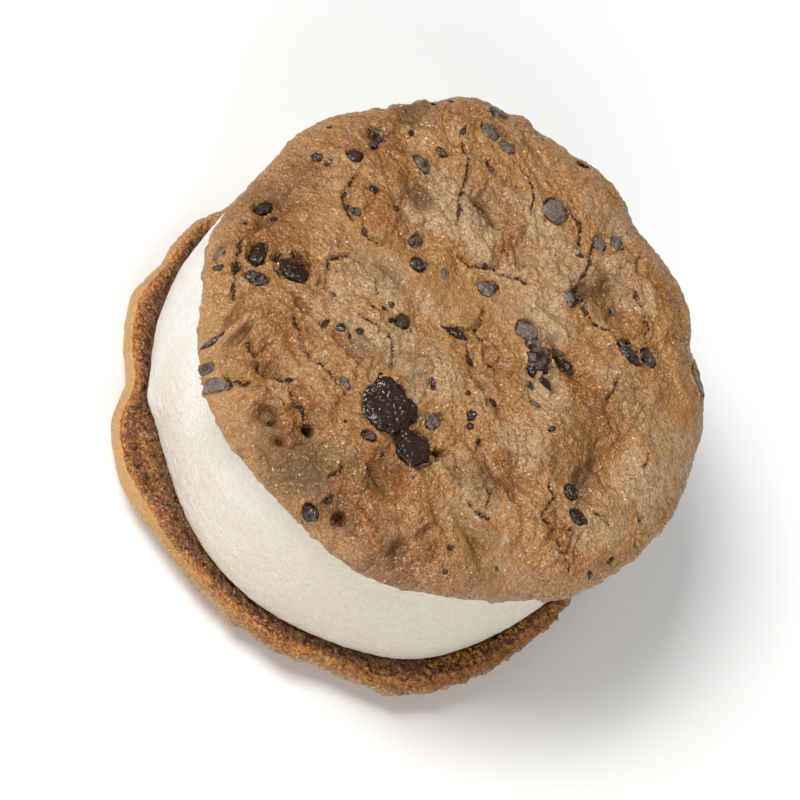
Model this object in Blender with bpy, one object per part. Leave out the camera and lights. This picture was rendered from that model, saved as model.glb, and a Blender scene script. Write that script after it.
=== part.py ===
"""Ice cream cookie sandwich: a thick round of vanilla ice cream between two chocolate chip cookies.

It lies flat with its origin on the floor, under the upper cookie's axis. The lower cookie is
upside down, so its baked underside and the upper one's both face the ice cream. -Y is the near side.
Sizes are in millimetres and become metres when a mesh is made.
"""

import math

import bmesh
import bpy
import numpy as np

MM = 0.001

# Heights above the floor.
BAKED_FACE_Z = 9.0
ICE_CREAM_THICKNESS = 34.0
GAP = 0.3
UPPER_BASE_Z = BAKED_FACE_Z + GAP + ICE_CREAM_THICKNESS + GAP

# A cookie's section: a dome over a widest line, with a small rounded turn under it.
UPPER_THICKNESS = 9.9
LOWER_THICKNESS = 9.25
WIDEST_Z = 1.4
UNDERCUT_SHARE = 0.975
DOME_POWER = 4.6

# Radius of each cookie at every 10 degrees, anticlockwise from +X as seen from above.
UPPER_RADII = (
    45.6, 45.8, 45.3, 45.1, 44.9, 43.4, 45.0, 44.0, 43.2, 44.8, 44.9, 44.6,
    45.5, 46.7, 44.1, 43.7, 44.5, 44.4, 43.5, 43.7, 44.8, 45.2, 44.8, 45.7,
    46.0, 45.9, 44.6, 44.2, 44.2, 45.0, 44.7, 43.6, 43.9, 44.4, 45.5, 45.4,
)
LOWER_RADII = (
    45.5, 45.0, 45.4, 46.0, 45.2, 44.6, 45.0, 45.8, 45.4, 44.8, 45.2, 46.0,
    45.7, 44.9, 45.3, 46.0, 45.6, 46.0, 46.5, 45.7, 46.7, 45.5, 44.0, 46.9,
    47.3, 46.0, 45.5, 45.1, 45.1, 45.7, 44.8, 46.3, 47.3, 47.0, 46.2, 45.4,
)

# Features of the upper cookie are placed by eye on a level sheet SHEET_Z above its base, looking
# down from the near side at SIGHT_ELEVATION. lay_on_dome carries them down that line to the crust.
SHEET_Z = 9.4
SIGHT_ELEVATION = math.radians(58.4)

# Lumps and hollows of the upper crust: x, y, half width, half depth, height.
UPPER_LUMPS = (
    (-25, 2.5, 6.5, 4.5, 1.6), (-22.5, 11.5, 4.5, 2.4, -1.1), (-29, 10.5, 3.5, 3, 0.7),
    (-15.5, 15.5, 4, 2.4, 1.0), (-35.5, 13, 2.5, 3, -0.9), (-33, 23, 3, 3, 1.4), (-28, 26.5, 4, 3.5, 0.6),
    (-20, 34.5, 3, 2.5, 0.8), (-12.5, 19, 4, 2, -1.1), (-8, 25.5, 4, 3.5, 1.0), (-4.5, 17, 2.2, 4, -0.8),
    (-8.5, 12, 3, 2.2, 0.9), (12, 25.5, 6, 4.5, -1.1), (5, 24, 2.2, 5, 1.2), (16.5, 19, 4.5, 2, 1.0),
    (16.5, 10.5, 4.5, 2.3, -1.4), (21.5, 0, 3.5, 7, 0.9), (9.5, 4.5, 4.5, 3, 0.8),
    (2, 1.5, 2.5, 1.8, -0.7), (31, 2.5, 4.5, 4, -1.1), (0, -7, 4, 5, 0.7), (12.5, -5, 3, 2.8, -0.8),
    (22.5, -13.5, 4, 2.5, -1.1), (18, -19, 3, 2.2, 1.1), (29.5, -15.5, 2.5, 3, 0.8),
    (36, -18.5, 4, 2, 0.5), (37.5, -12, 2, 3.5, -0.8), (28, -27, 4.5, 2.5, -0.6), (8, -31, 3.5, 3, -1.0),
    (1.5, -30, 2, 3.5, 0.8), (13.5, -38, 4, 2.5, 0.6), (24, -32, 3.5, 2.5, 0.5),
    (18.5, -39.5, 1.8, 2, -0.9), (-3, -40.5, 3.5, 5, -0.6), (-12, -40.5, 4, 1.8, -1.0),
    (-16, -36, 3.5, 2.5, 0.9), (-7, -36.5, 2, 1.8, -0.7), (-11, -28.5, 7, 3.5, 0.8),
    (-12.5, -16.5, 3, 2.5, -0.6), (-12, -11.5, 3.5, 2, 0.8), (-17, -24, 3.5, 3.5, -0.6),
    (-25, -25.5, 3, 5, 1.0), (-18.5, -32, 3, 2, -0.8), (-27, -4, 5, 3, 0.7), (-36.5, -9, 2, 6, -0.9),
    (-40.5, -3, 1.8, 8, 0.8), (-26, -14.5, 4.5, 2.8, -1.1), (-35.5, -22, 3.5, 3, 1.1),
    (-31, -31, 1.5, 3.5, -0.9), (27, 15, 5, 5, 0.5), (-14, -4.5, 12, 3, -0.7), (2, 11.5, 9, 3, -0.5),
    (24, 24, 3.5, 2.5, -0.8), (-28, 17, 3, 2, -0.6), (-17, 5, 1.8, 3, -0.6),
)

# Chips on the upper crust: x, y, half width, half depth, turn in degrees.
UPPER_CHIPS = (
    (-0.3, -21.6, 4.6, 4.7, 0), (7.1, -23.5, 3.3, 3.0, 0), (6.2, -17, 1.1, 1.7, 0),
    (0.5, -28.6, 1.3, 1.0, 0), (5.8, 7.7, 1.9, 1.7, 0), (8.2, 6.8, 1.5, 1.3, 0),
    (10.7, 5.9, 1.8, 2.3, 0), (-3.6, 8.2, 1.3, 1.7, -20), (-14.3, 0.9, 1.4, 1.2, 0),
    (-34.7, 6.8, 1.3, 1.4, 0), (-17.4, 4.8, 1.0, 1.8, 0), (-33.4, -20, 1.5, 2.2, 25),
    (-27.3, -16.5, 2.5, 2.0, 20), (-30.5, -23, 1.8, 1.1, 35), (-22.3, -42.8, 1.4, 0.9, 0),
    (-25.3, -41.6, 1.0, 0.8, 0), (3, -46, 1.6, 0.8, 0), (-9.2, -8.2, 1.3, 1.7, 0),
    (-1.8, -2.2, 1.7, 0.9, 15), (30.2, -7.3, 1.3, 1.2, 0), (33.5, -9.8, 1.5, 1.2, 0),
    (23.3, 21.8, 1.8, 1.7, 0), (20.3, 19.2, 2.6, 1.6, 0), (31.5, 26.2, 2.9, 1.2, -40),
    (3.7, 30.5, 1.4, 1.3, 0), (5.8, 33, 1.4, 1.1, 0), (-5.3, 28, 2.3, 2.2, 0),
    (-22.5, 30, 1.8, 1.3, 0), (-18.6, 30, 1.4, 1.2, 0), (-23.7, 33.5, 1.6, 1.3, 0),
    (-26, 15.5, 1.8, 1.2, 0), (-38.4, -12.8, 1.1, 1.9, 0),
)

# What the lower crust has, which nothing shows, is drawn at random from the same sizes.
LOWER_LUMP_COUNT = 26
LOWER_CHIP_COUNT = 12
LOWER_SEED = 11

# The lower crown is pressed flat on the floor: how wide, and by how much.
FOOT_RADIUS = 26.0
FOOT_PRESS = 1.0

# A chip is a flattened ball sunk in the crust: how far it stands proud, and its sides and rings.
CHIP_RISE = 0.6
CHIP_HALF_HEIGHT = 1.4
CHIP_SIDES = 8
CHIP_RINGS = 5

# Swell is the gentle unevenness between the lumps. A lump's edge is steeper the higher LUMP_EDGE is.
SWELL_SIZE = 15.0
SWELL_HEIGHT = 0.35
SWELL_WAVES = 9
LUMP_EDGE = 1.4

# Cells across each cookie, rows of cells round its turned-under rim, and how far rings crowd outwards.
UPPER_CELLS = 44
LOWER_CELLS = 32
SIDE_ROWS = 3
RING_CROWDING = 1.5

# Ice cream: a slightly barrelled wall, with its radius at every 20 degrees from +X, and a soft
# lip pressed out on the near left where it meets the baked face.
ICE_CREAM_RADII = (
    41.7, 42.0, 42.6, 43.0, 43.2, 43.3, 43.1, 43.0, 43.2,
    43.1, 41.9, 40.8, 39.8, 40.9, 41.5, 41.3, 42.2, 41.5,
)
SPUN_RADIUS = 42.0
ICE_CREAM_BARREL = 0.4
ICE_CREAM_EDGE_ROUND = 1.2
ICE_CREAM_SIDES = 80
LIP_HEADING = math.radians(224)
LIP_HALF_WIDTH = math.radians(4.5)
LIP_HEIGHT = 2.5
LIP_REACH = 1.1

CRUST_COLOUR = (0.42, 0.20, 0.075, 1.0)
ICE_CREAM_COLOUR = (0.86, 0.79, 0.64, 1.0)


def clear_scene():
    for item in list(bpy.data.objects):
        bpy.data.objects.remove(item, do_unlink=True)


def material(name, colour, roughness):
    made = bpy.data.materials.new(name)
    made.use_nodes = True
    shader = made.node_tree.nodes["Principled BSDF"]
    shader.inputs["Base Color"].default_value = colour
    shader.inputs["Roughness"].default_value = roughness
    shader.inputs["Metallic"].default_value = 0.0
    return made


def new_collection(name):
    made = bpy.data.collections.new(name)
    bpy.context.scene.collection.children.link(made)
    return made


def object_from(bm, name, collection, finish):
    """The bmesh as a smooth-shaded object, in metres."""
    bmesh.ops.recalc_face_normals(bm, faces=bm.faces[:])
    bmesh.ops.scale(bm, vec=(MM, MM, MM), verts=bm.verts[:])
    mesh = bpy.data.meshes.new(name)
    bm.to_mesh(mesh)
    bm.free()
    mesh.materials.append(finish)
    mesh.shade_smooth()
    made = bpy.data.objects.new(name, mesh)
    collection.objects.link(made)
    return made


def radius_at(angle, radii):
    """Smooth closed curve (Catmull-Rom) through evenly spaced radii, read at an angle."""
    values = np.asarray(radii, float)
    place = np.mod(angle / (2 * math.pi), 1.0) * len(values)
    first = np.floor(place).astype(int)
    t = place - first
    a, b, c, d = (values[(first + step) % len(values)] for step in (-1, 0, 1, 2))
    return b + 0.5 * t * (c - a + t * (2 * a - 5 * b + 4 * c - d + t * (3 * (b - c) + d - a)))


def dome_height(share, thickness):
    """Height of the plain dome over the base, at a share of the radius from 0 to 1."""
    return WIDEST_Z + (thickness - WIDEST_Z) * np.sqrt(np.clip(1 - share**DOME_POWER, 0, 1))


def lay_on_dome(x, y, radii, thickness):
    """Slides a point of the sheet down the line of sight until it meets the plain dome."""
    lean = 1 / math.tan(SIGHT_ELEVATION)
    laid = y
    for _ in range(12):
        share = math.hypot(x, laid) / radius_at(math.atan2(laid, x), radii)
        drop = SHEET_Z - float(dome_height(min(share, 1.0), thickness))
        laid += 0.5 * (y + drop * lean - laid)
    return x, laid


def swell(x, y, seed):
    """Gentle unevenness: level waves about SWELL_SIZE long, in random directions, added up."""
    draw = np.random.default_rng(seed)
    total = np.zeros(np.shape(x))
    for _ in range(SWELL_WAVES):
        heading, phase = draw.uniform(0, 2 * math.pi, 2)
        length = SWELL_SIZE * draw.uniform(0.7, 1.5)
        along = x * math.cos(heading) + y * math.sin(heading)
        total += np.cos(2 * math.pi * along / length + phase)
    return SWELL_HEIGHT * total / math.sqrt(SWELL_WAVES / 2)


def relief(x, y, share, lumps, seed):
    """Height that the lumps and the swell add to the dome, calmer near the rim."""
    total = swell(x, y, seed)
    for lump_x, lump_y, wide, deep, height in lumps:
        away = ((x - lump_x) / wide) ** 2 + ((y - lump_y) / deep) ** 2
        total += height * np.exp(-(away**LUMP_EDGE))
    return total * (1 - 0.6 * share**8)


def disc_from_square(a, b):
    """Square of side 2 to unit disc: each ring of the square becomes a circle, evenly spaced."""
    wide = np.abs(a) >= np.abs(b)
    reach = np.where(wide, a, b)
    ratio = np.where(wide, b, a) / np.where(reach == 0, 1, reach)
    angle = np.where(wide, ratio * math.pi / 4, math.pi / 2 - ratio * math.pi / 4)
    return reach * np.cos(angle), reach * np.sin(angle)


def cookie_lattice(cells):
    """A square grid with its border extruded down SIDE_ROWS times and closed below."""
    bm = bmesh.new()
    bmesh.ops.create_grid(bm, x_segments=cells, y_segments=cells, size=1.0)
    for _ in range(SIDE_ROWS):
        border = [edge for edge in bm.edges if edge.is_boundary]
        made = bmesh.ops.extrude_edge_only(bm, edges=border)["geom"]
        lowered = [item for item in made if isinstance(item, bmesh.types.BMVert)]
        bmesh.ops.translate(bm, verts=lowered, vec=(0, 0, -1))
    bmesh.ops.edgeloop_fill(bm, edges=[edge for edge in bm.edges if edge.is_boundary])
    return bm


def cookie_points(lattice, radii, thickness, lumps, seed):
    """Bends the lattice to a cookie with its base at 0: dome, relief square to it, turn under the rim."""
    across, along = disc_from_square(lattice[:, 0], lattice[:, 1])
    rows = -lattice[:, 2]
    angle = np.arctan2(along, across)
    share = 1 - (1 - np.clip(np.hypot(across, along), 0, 1)) ** RING_CROWDING
    reach = radius_at(angle, radii)
    turn = rows / SIDE_ROWS * math.pi / 2
    rim_share = UNDERCUT_SHARE + (1 - UNDERCUT_SHARE) * np.cos(turn)
    radius = reach * np.where(rows > 0, rim_share, share)
    height = np.where(rows > 0, WIDEST_Z * (1 - np.sin(turn)), dome_height(share, thickness))
    step = 1e-3
    outer = np.maximum(share, step)
    fall = (dome_height(outer, thickness) - dome_height(outer - step, thickness)) / (step * reach)
    outward = -fall / np.sqrt(1 + fall**2)
    upward = 1 / np.sqrt(1 + fall**2)
    x, y = radius * np.cos(angle), radius * np.sin(angle)
    bump = np.where(rows > 0, 0, relief(x, y, share, lumps, seed))
    radius = radius + bump * outward
    return np.stack([radius * np.cos(angle), radius * np.sin(angle), height + bump * upward], axis=1)


def crust_height(x, y, radii, thickness, lumps, seed):
    """Height of the finished crust over the base, at one place."""
    share = min(math.hypot(x, y) / float(radius_at(math.atan2(y, x), radii)), 1.0)
    return float(dome_height(share, thickness) + relief(x, y, share, lumps, seed))


def cookie(name, collection, finish, cells, radii, thickness, lumps, seed, place):
    """A cookie bent from its lattice; place turns points over its base into points over the floor."""
    bm = cookie_lattice(cells)
    lattice = np.array([vertex.co[:] for vertex in bm.verts])
    points = place(cookie_points(lattice, radii, thickness, lumps, seed))
    for vertex, point in zip(bm.verts, points):
        vertex.co = point
    four_sided = [face for face in bm.faces if len(face.verts) == 4]
    bmesh.ops.triangulate(bm, faces=four_sided, quad_method="SHORT_EDGE")
    return object_from(bm, name, collection, finish)


def chip(name, collection, finish, centre, half_sizes, turn):
    """A baked-in chip: a flattened ball with few sides."""
    bm = bmesh.new()
    bmesh.ops.create_uvsphere(bm, u_segments=CHIP_SIDES, v_segments=CHIP_RINGS, radius=1.0)
    bmesh.ops.scale(bm, vec=half_sizes, verts=bm.verts[:])
    cos, sin = math.cos(math.radians(turn)), math.sin(math.radians(turn))
    for vertex in bm.verts:
        x, y, z = vertex.co
        vertex.co = (centre[0] + x * cos - y * sin, centre[1] + x * sin + y * cos, centre[2] + z)
    return object_from(bm, name, collection, finish)


def fuse_chips(base, chips):
    """Joins a collection of chips to the cookie they lie in, then removes them."""
    joint = base.modifiers.new("Fused chips", "BOOLEAN")
    joint.operation = "UNION"
    joint.operand_type = "COLLECTION"
    joint.collection = chips
    joint.solver = "EXACT"
    graph = bpy.context.evaluated_depsgraph_get()
    fused = bpy.data.meshes.new_from_object(base.evaluated_get(graph))
    base.modifiers.remove(joint)
    base.data = fused
    for item in list(chips.objects):
        bpy.data.objects.remove(item, do_unlink=True)
    bpy.data.collections.remove(chips)


def on_upper_base(points):
    return points + np.array([0, 0, UPPER_BASE_Z])


def under_baked_face(points):
    """Turned over, hanging from the baked face, and flat where it would pass the floor."""
    below = points * np.array([1, 1, -1]) + np.array([0, 0, BAKED_FACE_Z])
    below[:, 2] = np.maximum(below[:, 2], 0)
    return below


def random_places(draw, count, low, high, spacing):
    """Places between two radii, each at least spacing from the others."""
    places = []
    while len(places) < count:
        reach = math.sqrt(draw.uniform(low**2, high**2))
        heading = draw.uniform(0, 2 * math.pi)
        place = (reach * math.cos(heading), reach * math.sin(heading))
        if all(math.dist(place, other) > spacing for other in places):
            places.append(place)
    return places


def upper_cookie(collection, finish):
    laid = [(*lay_on_dome(x, y, UPPER_RADII, UPPER_THICKNESS), *rest) for x, y, *rest in UPPER_LUMPS]
    shape = (UPPER_RADII, UPPER_THICKNESS, laid, 1)
    base = cookie("upper_cookie", collection, finish, UPPER_CELLS, *shape, on_upper_base)
    chips = new_collection("upper_chips")
    for number, (x, y, wide, deep, turn) in enumerate(UPPER_CHIPS):
        x, y = lay_on_dome(x, y, UPPER_RADII, UPPER_THICKNESS)
        top = UPPER_BASE_Z + crust_height(x, y, *shape) + CHIP_RISE
        centre = (x, y, top - CHIP_HALF_HEIGHT)
        chip(f"upper_chip_{number}", chips, finish, centre, (wide, deep, CHIP_HALF_HEIGHT), turn)
    fuse_chips(base, chips)
    return base


def lower_cookie(collection, finish):
    """The lower crust is flat round the axis, where it stands, and lumpy outside that."""
    draw = np.random.default_rng(LOWER_SEED)
    lumps = [(0, 0, FOOT_RADIUS, FOOT_RADIUS, FOOT_PRESS)]
    for x, y in random_places(draw, LOWER_LUMP_COUNT, 24, 42, 5):
        lumps.append((x, y, *draw.uniform(3, 6, 2), draw.choice([-0.8, 0.7, 1.0])))
    shape = (LOWER_RADII, LOWER_THICKNESS, lumps, LOWER_SEED)
    base = cookie("lower_cookie", collection, finish, LOWER_CELLS, *shape, under_baked_face)
    chips = new_collection("lower_chips")
    for number, (x, y) in enumerate(random_places(draw, LOWER_CHIP_COUNT, 27, 41, 6)):
        bottom = BAKED_FACE_Z - crust_height(x, y, *shape) - CHIP_RISE
        wide, deep = draw.uniform(1.3, 2.6, 2)
        centre = (x, y, max(bottom, 0.2) + CHIP_HALF_HEIGHT)
        chip(f"lower_chip_{number}", chips, finish, centre, (wide, deep, CHIP_HALF_HEIGHT), 0)
    fuse_chips(base, chips)
    return base


def ice_cream_profile():
    """Half section of the ice cream, bottom to top: round edges and a barrelled wall."""
    turns = [step * math.pi / 6 for step in range(4)]
    corner = ICE_CREAM_EDGE_ROUND
    low = [(corner * (1 - math.sin(turn)), corner * (1 - math.cos(turn))) for turn in turns]
    points = list(low)
    points += [(0, share * ICE_CREAM_THICKNESS) for share in (0.12, 0.3, 0.5, 0.7, 0.88)]
    points += [(inset, ICE_CREAM_THICKNESS - rise) for inset, rise in reversed(low)]
    half = ICE_CREAM_THICKNESS / 2
    barrel = [ICE_CREAM_BARREL * (1 - ((z - half) / half) ** 2) for _, z in points]
    return [(SPUN_RADIUS - inset + bulge, z) for (inset, z), bulge in zip(points, barrel)]


def ice_cream(collection, finish):
    """The profile spun round the axis and closed at both ends, then given its radius at each angle."""
    bm = bmesh.new()
    rim = [bm.verts.new((radius, 0, z)) for radius, z in ice_cream_profile()]
    wall = [bm.edges.new(pair) for pair in zip(rim, rim[1:])]
    turned = {"cent": (0, 0, 0), "axis": (0, 0, 1), "angle": 2 * math.pi, "steps": ICE_CREAM_SIDES}
    bmesh.ops.spin(bm, geom=rim + wall, use_merge=True, **turned)
    bmesh.ops.remove_doubles(bm, verts=bm.verts[:], dist=0.01)
    bmesh.ops.edgeloop_fill(bm, edges=[edge for edge in bm.edges if edge.is_boundary])
    for vertex in bm.verts:
        x, y, z = vertex.co
        angle = math.atan2(y, x)
        aside = (math.remainder(angle - LIP_HEADING, 2 * math.pi) / LIP_HALF_WIDTH) ** 2
        lip = LIP_REACH * math.exp(-aside - z / LIP_HEIGHT)
        radius = math.hypot(x, y) - SPUN_RADIUS + float(radius_at(angle, ICE_CREAM_RADII)) + lip
        vertex.co = (radius * math.cos(angle), radius * math.sin(angle), z + BAKED_FACE_Z + GAP)
    return object_from(bm, "ice_cream", collection, finish)


def main():
    clear_scene()
    sandwich = new_collection("ice_cream_cookie_sandwich")
    crust = material("baked crust", CRUST_COLOUR, 0.6)
    cream = material("vanilla ice cream", ICE_CREAM_COLOUR, 0.5)
    lower_cookie(sandwich, crust)
    ice_cream(sandwich, cream)
    upper_cookie(sandwich, crust)


if __name__ == "__main__":
    main()
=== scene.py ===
"""Finish of an ice cream cookie sandwich: two chocolate chip cookies round vanilla ice cream.

Every piece is worked out in millimetres and becomes metres when its mesh is made. The sandwich lies on its
lower cookie, +Z runs up through it, and -Y is the near side. Places on the upper crust are given on a level
sheet over it, as the near side sees them, and are carried down that line of sight to the crust.
"""

import math

import bpy
import numpy as np
from mathutils import Matrix, Vector


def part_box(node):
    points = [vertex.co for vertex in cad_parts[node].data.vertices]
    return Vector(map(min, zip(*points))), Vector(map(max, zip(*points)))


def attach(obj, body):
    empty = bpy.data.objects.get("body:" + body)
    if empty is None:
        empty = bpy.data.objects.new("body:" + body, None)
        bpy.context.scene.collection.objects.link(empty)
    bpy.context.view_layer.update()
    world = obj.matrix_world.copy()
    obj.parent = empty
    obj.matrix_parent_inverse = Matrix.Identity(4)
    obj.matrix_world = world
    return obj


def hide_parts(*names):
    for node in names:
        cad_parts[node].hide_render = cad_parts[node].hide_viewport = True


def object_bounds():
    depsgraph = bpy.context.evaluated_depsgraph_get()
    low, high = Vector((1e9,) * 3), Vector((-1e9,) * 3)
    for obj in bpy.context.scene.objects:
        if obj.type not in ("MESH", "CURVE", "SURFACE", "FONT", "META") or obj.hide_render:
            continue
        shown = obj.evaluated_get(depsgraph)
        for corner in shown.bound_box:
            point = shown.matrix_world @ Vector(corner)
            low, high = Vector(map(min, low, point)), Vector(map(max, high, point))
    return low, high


bl_info = {
    "name": "Ice Cream Cookie Sandwich",
    "version": (1, 0, 0),
    "blender": (4, 5, 0),
    "location": "View3D > Sidebar > Sandwich",
    "description": "Builds an ice cream sandwich of two chocolate chip cookies, piece by piece",
    "category": "Add Mesh",
}

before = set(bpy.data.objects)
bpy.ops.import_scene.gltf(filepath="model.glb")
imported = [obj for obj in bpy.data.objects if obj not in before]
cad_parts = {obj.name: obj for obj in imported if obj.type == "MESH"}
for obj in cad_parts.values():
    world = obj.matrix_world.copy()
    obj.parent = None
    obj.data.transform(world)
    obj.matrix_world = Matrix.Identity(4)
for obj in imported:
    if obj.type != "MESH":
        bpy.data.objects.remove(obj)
CAD_BOX = [list(corner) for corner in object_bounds()]

MM = 0.001


def node_heights(node):
    """Lowest and highest point of a solid, in millimetres."""
    low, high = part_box(node)
    return low.z / MM, high.z / MM


BAKED_FACE_Z = node_heights("lower_cookie")[1]
UPPER_BASE_Z = node_heights("upper_cookie")[0]
ICE_CREAM_Z = node_heights("ice_cream")

# A cookie's section: a dome over a widest line, with a small rounded turn under it.
UPPER_THICKNESS = 9.9
LOWER_THICKNESS = 9.25
WIDEST_Z = 1.4
UNDERCUT_SHARE = 0.975
DOME_POWER = 4.6

# Radius of each cookie at every 10 degrees, anticlockwise from +X as seen from above.
UPPER_RADII = (
    45.6, 45.8, 45.3, 45.1, 44.9, 43.4, 45.0, 44.0, 43.2, 44.8, 44.9, 44.6,
    45.5, 46.7, 44.1, 43.7, 44.5, 44.4, 43.5, 43.7, 44.8, 45.2, 44.8, 45.7,
    46.0, 45.9, 44.6, 44.2, 44.2, 45.0, 44.7, 43.6, 43.9, 44.4, 45.5, 45.4,
)
LOWER_RADII = (
    45.5, 45.0, 45.4, 46.0, 45.2, 44.6, 45.0, 45.8, 45.4, 44.8, 45.2, 46.0,
    45.7, 44.9, 45.3, 46.0, 45.6, 46.0, 46.5, 45.7, 46.7, 45.5, 44.0, 46.9,
    47.3, 46.0, 45.5, 45.1, 45.1, 45.7, 44.8, 46.3, 47.3, 47.0, 46.2, 45.4,
)

# The sheet lies this far over the widest line, and is looked down on at this angle.
SHEET_Z = 9.4
SIGHT_ELEVATION = math.radians(58.4)

# Lumps and hollows of the upper crust: x, y, half width, half depth, height.
UPPER_LUMPS = (
    (-25, 2.5, 6.5, 4.5, 1.6), (-22.5, 11.5, 4.5, 2.4, -1.1), (-29, 10.5, 3.5, 3, 0.7),
    (-15.5, 15.5, 4, 2.4, 1.0), (-35.5, 13, 2.5, 3, -0.9), (-33, 23, 3, 3, 1.4),
    (-28, 26.5, 4, 3.5, 0.6), (-20, 34.5, 3, 2.5, 0.8), (-12.5, 19, 4, 2, -1.1), (-8, 25.5, 4, 3.5, 1.0),
    (-4.5, 17, 2.2, 4, -0.8), (-8.5, 12, 3, 2.2, 0.9), (12, 25.5, 6, 4.5, -1.1), (5, 24, 2.2, 5, 1.2),
    (16.5, 19, 4.5, 2, 1.0), (16.5, 10.5, 4.5, 2.3, -1.4), (21.5, 0, 3.5, 7, 0.9),
    (9.5, 4.5, 4.5, 3, 0.8), (2, 1.5, 2.5, 1.8, -0.7), (31, 2.5, 4.5, 4, -1.1), (0, -7, 4, 5, 0.7),
    (12.5, -5, 3, 2.8, -0.8), (22.5, -13.5, 4, 2.5, -1.1), (18, -19, 3, 2.2, 1.1),
    (29.5, -15.5, 2.5, 3, 0.8), (36, -18.5, 4, 2, 0.5), (37.5, -12, 2, 3.5, -0.8),
    (28, -27, 4.5, 2.5, -0.6), (8, -31, 3.5, 3, -1.0), (1.5, -30, 2, 3.5, 0.8), (13.5, -38, 4, 2.5, 0.6),
    (24, -32, 3.5, 2.5, 0.5), (18.5, -39.5, 1.8, 2, -0.9), (-3, -40.5, 3.5, 5, -0.6),
    (-12, -40.5, 4, 1.8, -1.0), (-16, -36, 3.5, 2.5, 0.9), (-7, -36.5, 2, 1.8, -0.7),
    (-11, -28.5, 7, 3.5, 0.8), (-12.5, -16.5, 3, 2.5, -0.6), (-12, -11.5, 3.5, 2, 0.8),
    (-17, -24, 3.5, 3.5, -0.6), (-25, -25.5, 3, 5, 1.0), (-18.5, -32, 3, 2, -0.8), (-27, -4, 5, 3, 0.7),
    (-36.5, -9, 2, 6, -0.9), (-40.5, -3, 1.8, 8, 0.8), (-26, -14.5, 4.5, 2.8, -1.1),
    (-35.5, -22, 3.5, 3, 1.1), (-31, -31, 1.5, 3.5, -0.9), (27, 15, 5, 5, 0.5), (-14, -4.5, 12, 3, -0.7),
    (2, 11.5, 9, 3, -0.5), (24, 24, 3.5, 2.5, -0.8), (-28, 17, 3, 2, -0.6), (-17, 5, 1.8, 3, -0.6),
)

# Seeds of noise and random draws. Each use adds its own number, so that no two are alike.
UPPER_SWELL_SEED = 1
UPPER_SEED = 51
LOWER_SEED = 11
LOWER_DOUGH_SEED = 81
CHIP_SEED = 101
CRUMB_SEED = 121
ICE_CREAM_SEED = 141

# Lower crust: its lumps and chips, and the broad lump that is pressed flat into a foot.
LOWER_LUMP_COUNT = 26
LOWER_CHIP_COUNT = 12
LOWER_CHIP_HALF_HEIGHT = 1.4
FOOT_RADIUS = 26.0
FOOT_PRESS = 1.0

# Gentle swell of both crusts, and the powers that make lumps and zones steep at their edge.
SWELL_SIZE = 15.0
SWELL_HEIGHT = 0.35
SWELL_WAVES = 9
LUMP_EDGE = 1.4
ZONE_EDGE = 1.3

# Anything this many mm or half widths away has no effect.
FAR = 9.0

# Chips that stand out on the upper crust: x, y, half width, half depth, turn in degrees, and bloom,
# the grey of cocoa butter that has risen, from 0, dark and glossy, to 1.
UPPER_CHIPS = (
    (-0.3, -21.6, 4.6, 4.7, 0, 0.1), (7.1, -23.5, 3.3, 3.0, 0, 0.15), (6.2, -17, 1.1, 1.7, 0, 0.8),
    (0.5, -28.6, 1.3, 1.0, 0, 0.5), (5.8, 7.7, 1.9, 1.7, 0, 0.9), (8.2, 6.8, 1.5, 1.3, 0, 0.6),
    (10.7, 5.9, 1.8, 2.3, 0, 0.5), (-3.6, 8.2, 1.3, 1.7, -20, 0.8), (-14.3, 0.9, 1.4, 1.2, 0, 0.4),
    (-34.7, 6.8, 1.3, 1.4, 0, 0.2), (-17.4, 4.8, 1.0, 1.8, 0, 0.7), (-33.4, -20, 1.5, 2.2, 25, 0.1),
    (-27.3, -16.5, 2.5, 2.0, 20, 0.15), (-30.5, -23, 1.8, 1.1, 35, 0.4),
    (-22.3, -42.8, 1.4, 0.9, 0, 0.9), (-25.3, -41.6, 1.0, 0.8, 0, 0.6), (3, -46, 1.6, 0.8, 0, 0.3),
    (-9.2, -8.2, 1.3, 1.7, 0, 0.4), (-1.8, -2.2, 1.7, 0.9, 15, 0.3), (30.2, -7.3, 1.3, 1.2, 0, 0.1),
    (33.5, -9.8, 1.5, 1.2, 0, 0.2), (23.3, 21.8, 1.8, 1.7, 0, 0.5), (20.3, 19.2, 2.6, 1.6, 0, 0.3),
    (31.5, 26.2, 2.9, 1.2, -40, 0.9), (3.7, 30.5, 1.4, 1.3, 0, 0.8), (5.8, 33, 1.4, 1.1, 0, 0.7),
    (-5.3, 28, 2.3, 2.2, 0, 1.0), (-22.5, 30, 1.8, 1.3, 0, 0.8), (-18.6, 30, 1.4, 1.2, 0, 0.8),
    (-23.7, 33.5, 1.6, 1.3, 0, 0.6), (-26, 15.5, 1.8, 1.2, 0, 0.7), (-38.4, -12.8, 1.1, 1.9, 0, 0.0),
)

# A chip is a block with this many chopped sides, tilted by this slope.
CHIP_SIDES = 5
CHIP_TILT = 0.35

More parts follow.
